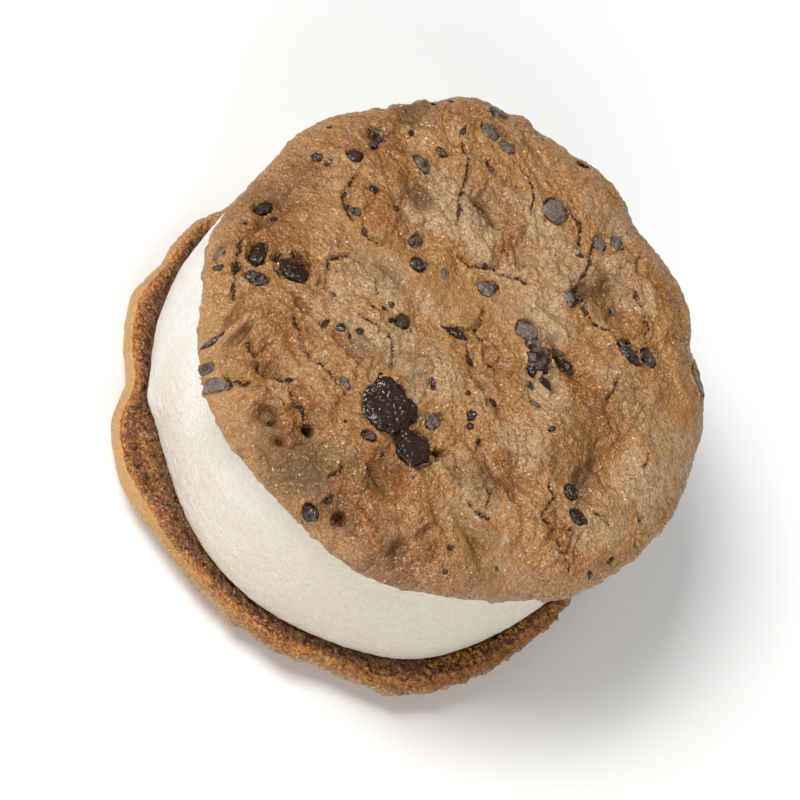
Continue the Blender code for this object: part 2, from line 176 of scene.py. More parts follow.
# Crumbs of chip between them, laid out in the same way.
UPPER_SPECKS = (
    (-38.7, 1.3, 1.0, 0.7, 0, 0.2), (-28.2, 4, 0.9, 0.9, 0, 0.1), (-27.6, -1, 1.0, 0.8, 0, 0.5),
    (-23.4, 5, 0.5, 0.5, 0, 0.1), (-41.2, 7.3, 0.4, 0.4, 0, 0.1), (-34, 11.5, 0.8, 0.8, 0, 0.2),
    (-32.3, 25.5, 1.0, 1.0, 0, 0.1), (-30.8, 28.5, 0.5, 0.5, 0, 0.1), (-17, 36.3, 0.6, 0.6, 0, 0.4),
    (-25.6, 25.7, 0.4, 0.8, 0, 0.3), (-25.5, 19.9, 1.2, 0.5, 0, 0.4), (-31.2, 18.4, 0.6, 0.6, 0, 0.2),
    (-8, 39.3, 1.2, 0.4, 0, 0.1), (13.5, 24, 0.8, 0.5, 0, 0.9), (18.7, 21, 0.6, 0.6, 0, 0.2),
    (-2.7, 9.8, 0.6, 0.5, 0, 0.1), (-6.5, 10.6, 0.6, 0.6, 0, 0.2), (-10.1, 3.7, 0.9, 0.9, 0, 0.9),
    (11, 3.5, 1.4, 1.0, 0, 0.4), (14.8, 9.8, 1.0, 0.8, 0, 0.3), (14.3, 3.7, 1.3, 0.8, 10, 0.1),
    (12.7, 1.4, 0.9, 0.6, 0, 0.7), (15.4, -0.5, 0.9, 0.5, 30, 0.8), (2.8, -4.5, 1.0, 0.6, -15, 0.2),
    (10.7, -6.4, 0.8, 0.5, 0, 0.1), (-7.3, -8.2, 0.9, 0.35, 0, 0.2), (-10.6, -9.9, 0.9, 0.35, 45, 0.2),
    (-12.5, -7.7, 0.5, 0.5, 0, 0.2), (-13, -9.4, 0.6, 0.3, 0, 0.2), (-14.3, -10.8, 0.3, 0.3, 0, 0.2),
    (1.3, -12.7, 0.7, 0.5, 0, 0.2), (2.1, -13.2, 0.4, 0.4, 0, 0.2), (9.6, -11.3, 0.9, 0.8, 0, 0.2),
    (10.8, -12.6, 0.6, 0.6, 0, 0.3), (6.6, -9, 0.4, 0.4, 0, 0.3), (13.5, -13.4, 0.4, 0.4, 0, 0.2),
    (-13, -15.7, 0.6, 0.6, 0, 0.1), (-15.5, -18, 1.0, 0.8, 20, 0.1), (-13.5, -17.8, 0.5, 0.3, 0, 0.2),
    (-17.7, -19.3, 0.4, 0.7, 0, 0.2), (-8.3, -24.4, 1.1, 0.6, 0, 0.8), (-3.7, -29.7, 0.4, 0.4, 0, 0.2),
    (4.2, -28.8, 0.3, 0.7, 0, 0.2), (10.3, -27.7, 0.5, 0.5, 0, 0.2), (20.3, -2.5, 0.4, 0.7, 0, 0.1),
    (42.8, -10.8, 0.3, 0.9, 0, 0.2), (42, -15.5, 0.6, 0.5, 0, 0.3), (30.7, -27.6, 0.3, 0.3, 0, 0.2),
    (34.2, -12.4, 0.3, 0.3, 0, 0.2), (-14.7, -31.5, 0.6, 0.6, 0, 0.2),
    (-27.9, -36.5, 0.6, 1.9, -15, 0.4), (-37.8, -25, 0.5, 1.6, 0, 0.8), (-35.7, -13, 0.7, 1.2, 0, 0.1),
    (3, 26, 0.5, 0.5, 0, 0.0), (6.8, 18.3, 1.3, 0.8, 0, 0.7), (-36.3, -27, 0.8, 0.5, 30, 0.3),
    (25, -35.5, 0.5, 0.4, 0, 0.3), (-20.2, -14.2, 0.5, 0.3, 0, 0.4),
)

# Hollows in the upper crust, where it has sunk away and is painted dark as shade: x, y, half width,
# half depth, turn in degrees.
UPPER_HOLLOWS = (
    (-34, -24.5, 1.0, 1.2, 0), (-35.5, 14, 1.7, 1.5, 0), (7.5, 20.2, 1.7, 1.4, 0),
    (-18, 25.3, 1.4, 0.45, 0), (-6.8, -35.7, 0.7, 0.8, 0), (-8.8, -34.4, 0.6, 0.25, 0),
    (-12, -39.8, 0.6, 0.6, 0), (-8.7, -41.3, 0.8, 0.4, 0), (3.6, -42, 0.5, 1.1, 0),
    (7.2, -43.5, 0.9, 0.9, 0), (-28.6, -14.4, 2.0, 0.4, 5), (-30.8, -17.2, 0.8, 1.2, 0),
    (-29, -19, 1.2, 0.5, 0), (4.0, -24.3, 0.5, 1.0, -30), (6.7, -26.1, 1.6, 0.4, 5),
    (10.2, -20.4, 0.4, 1.1, -30), (12.6, 8.6, 1.3, 0.5, 20), (13.4, 10, 2.2, 0.5, 10),
    (12.9, 5.6, 0.4, 1.1, 0), (-8.6, -7.6, 0.5, 0.5, 0), (1.5, 0.5, 1.2, 0.4, 0),
    (22.9, -31.5, 0.8, 0.5, 0), (-33.5, 24.6, 0.6, 0.8, 0), (-36.7, 2.3, 0.5, 0.8, 0),
)

# Cracks in the upper crust: half width, then the points that each runs through.
UPPER_CRACKS = (
    (0.34, (9.5, 19.5), (10.8, 19), (12, 18.8), (13.3, 18.7), (14.5, 19), (15.5, 19.7), (16.8, 19.2),
     (17.6, 18.5)),
    (0.26, (3.3, 29), (4, 28), (4.6, 26.8), (5.2, 26.3), (5.6, 24.5), (6.2, 22.5), (6.7, 21.7)),
    (0.18, (-3.4, 30), (-1.7, 30.1), (-0.2, 30), (0.6, 28.8), (1.5, 27.9), (2.9, 26.6)),
    (0.16, (-4.6, 31.8), (-3.3, 31.2)),
    (0.16, (-10, 31.7), (-8.8, 31.5)),
    (0.16, (-14.5, 30), (-13.8, 29.2), (-12.3, 29.2), (-11, 28.2), (-9.7, 27.3), (-8.8, 26), (-8.2, 25)),
    (0.2, (0.3, 14.8), (-0.8, 14), (-1.5, 13.5), (-3, 12.9), (-4.5, 12.2), (-5.5, 11.8), (-6.5, 10.8),
     (-8, 9), (-9.5, 8.5), (-10.8, 8.3)),
    (0.2, (-24.3, 24.6), (-23, 23.5), (-21.6, 22.4), (-20.5, 21.7), (-19.8, 21), (-18.7, 19.3),
     (-18.2, 17.5), (-17.6, 15.6), (-16.5, 14.7), (-15.5, 13.6), (-14.8, 12.2)),
    (0.18, (-32, 5.2), (-31.7, 3.5), (-31.5, 1), (-30.8, -0.5), (-30, -1), (-29.2, -1.5), (-28, -2),
     (-27, -2.3)),
    (0.16, (-25.5, -1), (-24.5, -2), (-23, -2.3), (-21.5, -1.6), (-20.5, -0.8)),
    (0.16, (-23.1, -6.8), (-24, -8.6), (-25, -10), (-24.3, -11.3), (-23.3, -12.3), (-22.5, -13.3),
     (-21.8, -14.3)),
    (0.16, (-23.3, -14.2), (-23.3, -15)),
    (0.2, (-21.7, -23), (-20.8, -23.5), (-20, -23.2), (-18.8, -24.2), (-18, -24.8)),
    (0.15, (-17.5, -25.5), (-16, -25.6), (-14, -25.3), (-8, -25.2), (-6.5, -25.5)),
    (0.15, (-17.2, -6), (-16.3, -7), (-15.6, -7.8), (-15.3, -8.7)),
    (0.15, (-15, -13.5), (-12.5, -12.8), (-10, -12.5), (-8, -12.6), (-6.3, -13.8), (-5, -15.7)),
    (0.26, (-24.5, -32.5), (-23, -33.2), (-21.5, -33.1), (-20.3, -33.8), (-19.3, -34.8), (-18, -34.4),
     (-17, -34), (-15.8, -32.8), (-15.3, -31.5)),
    (0.3, (-13.5, -33), (-11.5, -34.2), (-9.5, -34.2), (-8.5, -34.9), (-7, -35.5), (-6, -36.4)),
    (0.22, (-18.8, -38), (-19.5, -39), (-20.5, -39.6)),
    (0.24, (-22.5, -40.2), (-21, -40.2), (-20.3, -41.5)),
    (0.18, (1.1, -35.5), (1.4, -36.5), (1.3, -37.4), (1, -38.3), (1.1, -39)),
    (0.18, (21.9, 14.5), (22.2, 13.1), (22.9, 12.2), (23.2, 11.3), (23.1, 10)),
    (0.15, (34.6, 8.3), (34.9, 7.9), (35.5, 6.7), (36.5, 5.5)),
    (0.15, (26, 7.5), (27.5, 7)),
    (0.2, (28.9, -10), (28.8, -12.5), (29.2, -14.7), (31, -15), (32.7, -14.5)),
    (0.18, (34, -15.6), (35, -16), (36, -16.8), (38.5, -17.2), (39.3, -18)),
    (0.15, (35, -6.8), (36.8, -6.5), (38.3, -6.7)),
    (0.15, (26.3, -8.5), (26.8, -9.7), (28.3, -9.8)),
    (0.18, (40.5, -0.7), (41.5, -1.5), (42, -0.6)),
    (0.15, (42.8, -3.7), (43.8, -5.2)),
    (0.15, (20, -22.7), (21.5, -23.2), (22.8, -22.8), (24, -22)),
    (0.18, (20, -18.8), (21.6, -19.2), (22.2, -20.8)),
    (0.2, (-1.6, 4.7), (-0.7, 3.5), (-0.3, 2), (-0.1, 0.7)),
    (0.2, (1.5, -2.7), (2, -3.5), (2.2, -4.3)),
    (0.18, (3.5, -1.2), (4.5, -1.9), (7.5, -1.6)),
    (0.22, (5.5, -6.3), (6.5, -6.6), (8, -6.5), (9.5, -6.6), (10.3, -7.8)),
    (0.14, (13, 29.5), (14.8, 28.7), (16.5, 28), (18, 27), (19.5, 26), (20.5, 25)),
    (0.14, (10, 33.5), (10.7, 32.3), (11.8, 31.9)),
    (0.14, (22.5, 28), (24.5, 27.5)),
    (0.18, (-38, -23.8), (-36.8, -24.7)),
    (0.2, (-38.8, -18.2), (-38.2, -17.5)),
    (0.2, (-36.6, -20.5), (-35.2, -23), (-33, -26), (-31, -29.5)),
    (0.2, (9.3, -19.5), (10.5, -21), (11, -22.5)),
    (0.2, (-24.9, -19.8), (-24.6, -20.2)),
)

# Share of its half width that a crack is open, and half the width of the slope down to it, in mm.
CRACK_SHARE = 0.55
CRACK_SLOPE = 0.3

# Zones of the upper crust by tint: x, y, half width, half depth, amount. The dark zones are darker crust
# and painted shade, in hollows and on the shaded sides of lumps.
UPPER_ZONES = {
    "dusty": (
        (-18, 14, 6, 7, 0.9), (-9, 19, 7, 8, 0.8), (1, 22, 8, 7, 0.9), (15.5, 3, 5, 5, 1.0),
        (-10, -15, 8, 5, 0.8), (31, -20, 8, 6, 0.5), (-15, -5, 9, 4, 0.7), (6, 13.5, 6, 3, 0.6),
        (12, 29, 7, 4, 0.5), (2, 36, 9, 4, 0.6), (2, 12, 14, 5, 0.5), (-9, 13, 7, 4, 0.4),
        (15, -8, 8, 4, 0.4), (8, -25, 3, 3, 0.4), (22, 14, 5, 4, 0.4), (36, -6, 8, 9, 0.3),
        (38, 9, 7, 14, 0.7), (-24.5, 8, 3, 3, 0.7), (-12, -37, 2.5, 3, 0.6), (-5.5, -27, 4, 2.5, 0.5),
        (16, -10.5, 3, 3, 0.6), (-20, -8, 5, 5, 0.6), (16, -24, 7, 4, 0.6), (20, -4, 5, 4, 0.5),
        (-1, -11, 7, 5, 0.5),
    ),
    "browned": (
        (-25, 2.5, 7, 5, 0.6), (-25, 13, 7, 4, 0.4), (20, -13, 6.5, 3, 0.6), (18, 9, 6, 2.5, 0.9),
        (7.5, -29, 4.5, 4, 0.9), (8, -39, 8, 4, 1.0), (-10, -37, 5, 4.5, 0.4), (-22, -26, 7, 6, 0.8),
        (35.5, -14, 5, 3, 0.8), (-31.5, 14, 2.5, 4, 0.8), (19.8, -38, 2.5, 4, 0.9),
        (-13.5, 21, 5, 3, 0.8), (-5, 17, 3, 4, 0.6), (-29, 25, 6, 5, 0.5), (-37, -16, 3.5, 8, 0.8),
        (-20, -38, 6, 4, 0.8), (12, 24, 8, 5, 0.5), (-30, -9, 6, 6, 0.5), (27, 2, 6, 6, 0.5),
        (-8, -30, 9, 4, 0.25), (18, 33, 6, 4, 0.5), (6, -1, 4, 2, 0.5), (-37, 4, 3, 8, 0.5),
        (25, -36, 8, 3, 0.4),
    ),
    "olive": (
        (23, 1, 6, 7, 0.8), (25, -29, 8, 6, 0.8), (5, -33.5, 7, 2.5, 0.8), (-2.5, -40, 4, 7, 0.9),
        (30, 15, 7, 6, 0.5), (10, 22, 5, 5, 0.4), (-34, 9, 6, 3, 0.5), (15, 14, 9, 2.5, 0.5),
        (-10, 0, 9, 2.5, 0.4), (-26, -16, 6, 3, 0.4), (33, -5, 6, 5, 0.5), (-30, -2, 8, 2.5, 0.4),
        (0, 6, 7, 3, 0.4), (28, 27, 5, 4, 0.4),
    ),
    "dark": (
        (28.5, 0, 4, 4.5, 0.7), (-13.5, 18, 4.5, 2, 0.8), (19, -16.8, 4, 2, 0.9),
        (17.5, -39.5, 2.5, 2, 0.5), (-33, 24, 4, 5, 0.6), (7.5, 23, 1.5, 4, 0.6), (24, 8, 3, 4, 0.5),
        (-36, 14, 3, 4, 0.6), (-26.5, -32, 3, 3.5, 0.5), (-12.5, -40, 3.5, 2, 0.3),
        (-7.5, 13.3, 3, 1.3, 0.6), (6.5, -33.2, 4, 1.3, 0.6), (3.5, -26.5, 4, 1.6, 0.5),
        (-30, -14.5, 5, 1.5, 0.3), (29.5, -13.5, 1.5, 5, 0.5), (-40, -12, 4, 7, 0.55),
        (-33, 20.5, 3, 3, 0.7), (-21, 31.5, 3, 4, 0.7), (-16, -4, 6, 2.5, 0.7), (-11, -16, 4, 2.5, 0.4),
        (-2, -13, 4.5, 4, 0.6), (9, -8.5, 2.5, 3, 0.4), (-5, -41.5, 9, 4, 0.75), (7, -43, 5, 3, 0.7),
        (13.5, -36, 3.5, 3, 0.5), (17, -20.5, 5, 2.2, 0.6), (10, 10.5, 2, 2, 0.8),
        (13.5, 6.5, 2.5, 2, 0.8), (10, 25.5, 3, 4.5, 0.8), (7.5, 20.3, 2, 2, 0.6), (16, 30, 3, 4, 0.35),
        (24, -5, 5, 3, 0.6), (30, -3, 3, 4, 0.35), (27, 8, 2.5, 4, 0.35), (31, -23, 3, 3, 0.3),
        (-15, 9.5, 2.5, 2.5, 0.3), (-26, -20, 5, 1.5, 0.3), (-16, -31, 5, 1.5, 0.35),
        (-38, 0, 5, 4, 0.4), (-9, -42.5, 11, 4, 0.4), (-37, -7, 5, 8, 0.35), (-19, -7, 9, 4, 0.25),
        (-1, -35, 8, 5, 0.25), (-22, 14, 4, 3, 0.35), (-19, 0, 3, 2, 0.3), (1, -31, 2.5, 5, 0.45),
        (-7, -33, 2, 5, 0.4), (16, -43, 5, 3, 0.5), (22, -42, 3, 2, 0.4), (-9.5, -18.5, 3, 2, 0.5),
        (-14.5, -18.5, 3, 2.5, 0.35), (16.5, 22.5, 3, 2.5, 0.5), (4.5, 37, 3, 2, 0.5),
    ),
}

# Smaller forms on the upper crust: folds, crags, ledges and dimples. x, y, half width, half depth, turn in
# degrees, height.
UPPER_FORMS = (
    (-27.3, -32.5, 0.9, 2.6, 0, 0.9), (-25.8, -33.2, 0.7, 2.4, 0, -0.9), (-29.3, -31, 0.6, 4, 15, -0.8),
    (-24.8, -13, 1.7, 1.7, 0, 0.6), (-28.5, -13.7, 3, 0.5, 5, 0.7), (-37, -16, 0.8, 2.2, 10, -0.7),
    (-39.5, -16.5, 0.8, 3, 5, 0.6), (-18, -21.6, 1.8, 0.8, 10, -0.5), (-14, -19.7, 9, 0.6, 0, -0.4),
    (-22, -20, 2, 0.8, 0, -0.5), (-33, -18, 1.2, 1.2, 0, 0.5), (-36, -21.5, 1.2, 2.4, 25, 0.6),
    (-31.5, -25.5, 2, 1, -20, 0.5), (-18.5, -33, 1.8, 1.4, 0, -0.7), (-23.5, -31.5, 1.8, 1.2, 0, 0.4),
    (-17, -37.5, 1.8, 1.5, 0, 0.6), (-21, -36.5, 1.6, 1.4, 0, 0.5), (-13.3, -39.3, 2.2, 1.6, 20, -1.0),
    (-10.5, -37.3, 2.4, 1.2, -20, 0.8), (-8, -39.5, 1.6, 0.9, -25, 0.6),
    (-8.7, -41.6, 1.6, 0.8, -10, -0.4), (-15.5, -41, 1.4, 2, 0, 0.5), (-6.7, -35.8, 1, 0.9, 0, -0.9),
    (-11.5, -32, 3.5, 0.9, -20, 0.5), (-9, -45.7, 2.5, 0.5, -10, -0.5), (-24, -38, 2, 1.6, 0, 0.5),
    (15, -13.5, 1.5, 1.2, 0, -0.4), (19, -12.3, 2, 1.6, 0, 0.8), (23.3, -13, 2, 1.3, 0, -0.6),
    (24, -16, 2.5, 0.8, 15, -0.4), (36.5, -14.5, 2.8, 0.8, -61, -0.6),
    (37.9, -13.4, 2.8, 0.9, -61, -0.5), (1.8, -30, 4, 1.2, -50, 0.7), (6, -32.2, 2.5, 0.8, 0, -0.7),
    (7.5, -29.3, 2.8, 2.0, 0, -0.6), (15.6, -31.3, 2.2, 2.2, 0, 0.8), (12.3, -32.5, 2, 1.4, 0, 0.5),
    (18.3, -33.3, 1, 2.2, 0, -0.6), (18, -29, 3, 0.8, -10, -0.4), (26, -28, 2.4, 1.4, -15, -0.5),
    (29, -31.5, 1.2, 3, -30, 0.4), (17.4, -39, 1.1, 1.9, 0, -0.6), (19.6, -37, 0.9, 2.4, 0, 0.7),
    (7.2, -43.4, 1.2, 1, 0, -0.8), (13.2, -42, 2.4, 1.3, 0, 0.6), (9.5, -39.6, 3.5, 0.9, 0, 0.4),
    (22, -24, 4, 0.7, 15, 0.4), (22.5, -27, 4, 0.8, -10, -0.4), (8, -6, 2.4, 0.6, 0, -0.5),
    (8, -4.6, 2.6, 0.8, 0, 0.4), (12.8, -6.3, 1.2, 1.1, 0, -0.5), (10.5, -20.3, 0.8, 1.8, -30, -0.7),
    (13, -21.5, 1, 1.5, -20, 0.5), (31, -4, 2.5, 1.6, 0, -0.5), (26, -2, 2, 3, 0, 0.4),
    (-28, 27, 2.8, 1.8, 0, 0.8), (-18, 25.3, 1.5, 0.5, 15, -0.5), (-20, 22.5, 3.5, 2, 20, 0.4),
    (-13, 18.2, 2.8, 1.1, 5, -0.9), (-13.5, 20.8, 2.6, 1, 0, -0.5), (-6.2, 15.6, 0.9, 1.9, 30, 0.5),
    (-4, 17.5, 1, 2, 35, -0.6), (-10.5, 12.9, 3.5, 0.7, -5, 0.5), (-9, 15, 1.8, 0.8, -20, 0.4),
    (-33.8, 15.5, 0.5, 3.5, 0, -0.6), (-37.5, 20, 1.2, 2.4, -20, 0.6), (-24.3, 2.4, 2, 1.6, 0, 0.7),
    (-26.9, 1.8, 0.7, 1.5, 0, -0.4), (-22.8, 12, 2.4, 1.6, 0, -0.7), (-27, 9.6, 2.5, 0.9, 0, 0.5),
    (-37.4, 24, 1.2, 1.1, 0, -0.6), (-20, 36.2, 1.5, 1, 0, 0.6), (-17, 32.8, 1.5, 1, 0, 0.5),
    (-29, 8, 1.5, 1, 0, 0.4), (-19.5, 9, 1.6, 2.2, 0, 0.35), (-12, 5.5, 2, 0.8, 10, 0.3),
    (7, 22.3, 1, 2.8, 10, -0.8), (18, 23.4, 1.8, 1.7, 0, 0.6), (9.7, 26.3, 1.4, 0.9, 0, -0.3),
    (17, 27.4, 4.6, 0.6, -32, 0.5), (16.8, 30.6, 5, 1.3, -28, 0.4), (10.5, 33.7, 2.4, 0.5, -55, -0.5),
    (15.5, 9, 2.2, 1.4, 5, -0.8), (20.3, 11, 3.2, 0.9, 20, 0.6), (12.6, 9.2, 1.6, 0.7, 15, -0.8),
    (14.8, 4.3, 1.8, 0.7, 5, -0.7), (18.6, 4, 1, 3.5, 10, 0.5), (28, 18, 1.6, 2.6, 0, 0.4),
    (24, 14, 1.4, 1.4, 0, 0.3), (22, 19, 3, 1.7, 10, 0.3), (27, 6, 2.5, 2, 0, 0.4),
    (33, 10, 2, 1.2, 30, 0.3), (30, 23, 4, 1, -35, 0.35), (9, 12.2, 4, 1, -10, 0.35),
    (6, 14.5, 3, 0.8, 10, -0.3), (-1, 26.5, 2, 2.5, 0, 0.3), (2.5, 20.5, 2.5, 2, 0, 0.3),
    (2.3, -1.2, 1.1, 1, 0, 0.5), (-1.5, 0.8, 0.6, 1.6, -20, 0.5), (6.5, 1, 3, 1.5, 10, 0.4),
    (3.5, 4, 3, 1, -10, -0.3),
)

# Where the upper crust is smooth and calm, laid out like the zones.
UPPER_CALM = (
    (-30, -4, 6, 3, 0.9), (-22, -2.5, 6, 3, 0.9), (-14, -1, 6, 4, 0.9), (-6, 3, 6, 4, 0.8),
    (1, 8, 6, 4, 0.8), (8, 13, 6, 4, 0.8), (34, 17, 6, 8, 0.9), (38, 6, 5, 8, 0.7), (25, -26, 8, 6, 0.6),
    (-5.3, 28, 5, 5, 0.3), (-2.5, -40, 4, 7, 0.6), (33, -29, 12, 5, 0.7), (41, -12, 4, 9, 0.5),
)

# Where it is crumbly, with folds between crags.
UPPER_RUBBLE = (
    (-33, -22, 6, 8, 1.0), (-26, -31, 6, 6, 1.0), (-19, -38, 7, 4, 0.9), (-36, 20, 4, 8, 0.9),
    (-29, -15, 5, 3, 0.8), (36, -15, 5, 4, 0.9), (19, -15, 7, 4, 0.7), (15, 9, 8, 3, 0.8),
    (-10, -36, 6, 4, 0.8), (8, -32, 5, 6, 0.8), (-24, 8, 8, 6, 0.6), (5, -23, 8, 6, 0.7),
    (-13, 20, 5, 4, 0.7), (-27, 28, 6, 5, 0.6), (20, 20, 6, 4, 0.5), (9, -40, 8, 4, 0.6),
    (2, -1, 5, 4, 0.6), (-6, 15, 3, 4, 0.5), (-20, 32, 6, 4, 0.6), (33, -3, 5, 4, 0.5),
)

# Lobes: small lumps and dimples at random all over the upper crust.
LOBE_COUNT = 220
LOBE_SPACING = 1.6
LOBE_REACH = 44
LOBE_HALF_SIZES = (1.0, 3.2)
LOBE_HEIGHTS = (-0.7, 0.5, 0.8, 1.0)
FORM_SCALE = 2.3
RAISED_LIMIT = 1.1

# Layers of the dough's noise, in millimetres.
DOUGH_BEND = 5.0
HEAP_SIZES = (5.0, 2.6, 1.3)
GRAIN_SIZES = (1.1, 0.75)

# Ice cream: radius at every 20 degrees from +X, and the lip pressed out at the near left.
ICE_CREAM_RADII = (
    41.7, 42.0, 42.6, 43.0, 43.2, 43.3, 43.1, 43.0, 43.2,
    43.1, 41.9, 40.8, 39.8, 40.9, 41.5, 41.3, 42.2, 41.5,
)
ICE_CREAM_BARREL = 0.4
ICE_CREAM_EDGE_ROUND = 1.2
ICE_CREAM_FLAT_INSET = 8.0
ICE_CREAM_SIDES = 840
ICE_CREAM_WALL_ROWS = 84
ICE_CREAM_CORNER_ROWS = 6
# Heading of the ice cream's side that is painted in shade.
SHADED_HEADING = math.radians(320)
LIP_HEADING = math.radians(224)
LIP_HALF_WIDTH = math.radians(4.5)
LIP_HEIGHT = 2.5
LIP_REACH = 1.1


class SandwichSizes(bpy.types.PropertyGroup):
    """Sizes that a user would change, in millimetres."""

    upper_cells: bpy.props.IntProperty(
        name="Upper Cells", description="Cells across the upper crust", default=284, min=40, max=284
    )
    lower_cells: bpy.props.IntProperty(
        name="Lower Cells", description="Cells across the lower crust", default=240, min=40, max=240
    )
    lobe_height: bpy.props.FloatProperty(
        name="Lobes", description="Height of the lobes in the crust, in mm", default=0.4, min=0, max=2
    )
    knob_height: bpy.props.FloatProperty(
        name="Knobs", description="Height of the knobs in the crust, in mm", default=0.85, min=0, max=2
    )
    grain_height: bpy.props.FloatProperty(
        name="Grains", description="Height of the grains of the crust, in mm", default=0.28, min=0, max=1
    )
    crack_depth: bpy.props.FloatProperty(
        name="Crack Depth", description="Depth of the cracks in the crust, in mm", default=0.7, min=0, max=3
    )
    chip_rise: bpy.props.FloatProperty(
        name="Chip Rise", description="Rise of a chip out of the crust, in mm", default=0.45, min=0, max=2
    )
    crumb_size: bpy.props.FloatProperty(
        name="Crumb Size", description="Half width of a loose crumb, in mm", default=0.45, min=0.1, max=2
    )


def colour_property(name, description, hex_code):
    """A colour setting whose default is an sRGB hex code."""
    return bpy.props.FloatVectorProperty(
        name=name, description=description, subtype="COLOR", size=4, min=0, max=1, default=linear(hex_code)
    )


def linear(hex_code):
    """Linear RGBA of an sRGB hex code such as C8A073."""
    parts = [int(hex_code[at : at + 2], 16) / 255 for at in (0, 2, 4)]
    return tuple(c / 12.92 if c <= 0.04045 else ((c + 0.055) / 1.055) ** 2.4 for c in parts) + (1.0,)


class SandwichColours(bpy.types.PropertyGroup):
    """Colours that a user would change."""

    crust: colour_property("Crust", "Plain baked crust", "AE7B45")
    crust_dusty: colour_property("Dusty Crust", "Pale crust, dry and finely crackled", "BE9A73")
    crust_browned: colour_property("Browned Crust", "Raised crust, browned most", "9A602A")
    crust_olive: colour_property("Shaded Crust", "Crust in hollows, baked least", "86632F")
    # Darker crust; also the colour of painted shade in the dark zones, creases and fine hollows, and of the
    # darkening beside cracks.
    dark_crust_and_shade: colour_property("Dark Crust", "Crust in deep folds", "523216")
    # Pale grain colour, laid on the peaks of the fine bump as painted highlight over the grain's own tone.
    grain_painted_highlight: colour_property("Crust Grain", "Pale grains of the crust", "DFB786")
    # Painted highlight: near-white specks of colour laid on the crust as glints of light.
    painted_highlight: colour_property("Sugar Glint", "Specks of melted sugar", "FFF3E2")
    # Near-black colour painted as shade inside cracks, pits, pores and hollows.
    crack: colour_property("Crack", "Inside of cracks and pits", "20120A")
    # Painted light and shade on the cookies' sides: paler toward the key light on the near left, duller away
    # from it on the near right.
    side_painted_light: colour_property("Pale Side", "Side of a cookie, away from the heat", "CFA26C")
    side_painted_shade: colour_property("Dull Side", "Side of a cookie on the near right", "96725A")
    baked_face: colour_property("Baked Face", "Underside of a cookie, porous", "9A6630")
    baked_rim: colour_property("Baked Rim", "Golden edge of the baked face", "B4763A")
    baked_ring: colour_property("Baked Ring", "Caramel ring round the baked face", "6E3813")
    chocolate: colour_property("Chocolate", "Dark chocolate", "2E1A0E")
    bloom: colour_property("Bloom", "Grey bloom on chocolate", "776A60")
    crumb: colour_property("Crumb", "Loose golden crumbs", "B8822F")
    ice_cream: colour_property("Ice Cream", "Vanilla ice cream", "F8F5F0")
    # Grain tone of the ice cream, laid in the hollows of its bump as painted shade.
    ice_cream_shade: colour_property("Ice Cream Grain", "Fine hollows between grains of ice", "B9A888")
    # Painted shade: a darker, warmer ivory on the ice cream's near-right side, away from the key light, and
    # towards its bottom.
    ice_cream_painted_shade: colour_property("Warm Ice Cream", "Ice cream where it has softened", "EAE0CE")


def sizes():
    return bpy.context.scene.sandwich_sizes


def colours():
    return bpy.context.scene.sandwich_colours


def radius_at(angle, radii):
    """Smooth closed curve (Catmull-Rom) through evenly spaced radii, read at an angle."""
    values = np.asarray(radii, float)
    place = np.mod(angle / (2 * math.pi), 1.0) * len(values)
    first = np.floor(place).astype(int)
    t = place - first
    a, b, c, d = (values[(first + step) % len(values)] for step in (-1, 0, 1, 2))
    return b + 0.5 * t * (c - a + t * (2 * a - 5 * b + 4 * c - d + t * (3 * (b - c) + d - a)))


def dome_height(share, thickness):
    """Height of the plain dome: the widest line plus the rest times the root of 1 minus share to a power."""
    return WIDEST_Z + (thickness - WIDEST_Z) * np.sqrt(np.clip(1 - share**DOME_POWER, 0, 1))


def lay_on_dome(x, y):
    """Slides sheet points down the line of sight to the dome: y grows by the drop over the sight's slope."""
    lean = 1 / math.tan(SIGHT_ELEVATION)
    x = np.asarray(x, float)
    laid = np.array(y, float)
    for _ in range(12):
        share = np.hypot(x, laid) / radius_at(np.arctan2(laid, x), UPPER_RADII)
        drop = SHEET_Z - dome_height(np.minimum(share, 1.0), UPPER_THICKNESS)
        laid += 0.5 * (y + drop * lean - laid)
    return x, laid


def laid_rows(rows):
    """The rows of a table with their places carried down to the crust."""
    table = np.array(rows, float)
    table[:, 0], table[:, 1] = lay_on_dome(table[:, 0], table[:, 1])
    return table


def swell(x, y, seed):
    """Gentle unevenness: the sum of level cosine waves about SWELL_SIZE long, in random directions."""
    draw = np.random.default_rng(seed)
    total = np.zeros(np.shape(x))
    for _ in range(SWELL_WAVES):
        heading, phase = draw.uniform(0, 2 * math.pi, 2)
        length = SWELL_SIZE * draw.uniform(0.7, 1.5)
        along = x * math.cos(heading) + y * math.sin(heading)
        total += np.cos(2 * math.pi * along / length + phase)
    return SWELL_HEIGHT * total / math.sqrt(SWELL_WAVES / 2)


def bell(value, middle, width, power=2):
    """e to minus a power of the distance from a middle in widths: 1 there, and almost 0 at two widths."""
    return np.exp(-(np.abs((value - middle) / width) ** power))


def mounds(x, y, rows, edge):
    """Sum of mounds, each its height times e to minus a power of its squared distance in half widths."""
    total = np.zeros(np.shape(x))
    for centre_x, centre_y, wide, deep, height in rows:
        away = ((x - centre_x) / wide) ** 2 + ((y - centre_y) / deep) ** 2
        total += height * np.exp(-(away**edge))
    return total


def zone(x, y, rows):
    """Share from 0 to 1 that soft round zones cover."""
    return np.clip(mounds(x, y, rows, ZONE_EDGE), 0, 1)


def turned(x, y, centre_x, centre_y, degrees):
    """Distances from a centre along a turned line and across it."""
    cos, sin = math.cos(math.radians(degrees)), math.sin(math.radians(degrees))
    return (x - centre_x) * cos + (y - centre_y) * sin, (y - centre_y) * cos - (x - centre_x) * sin


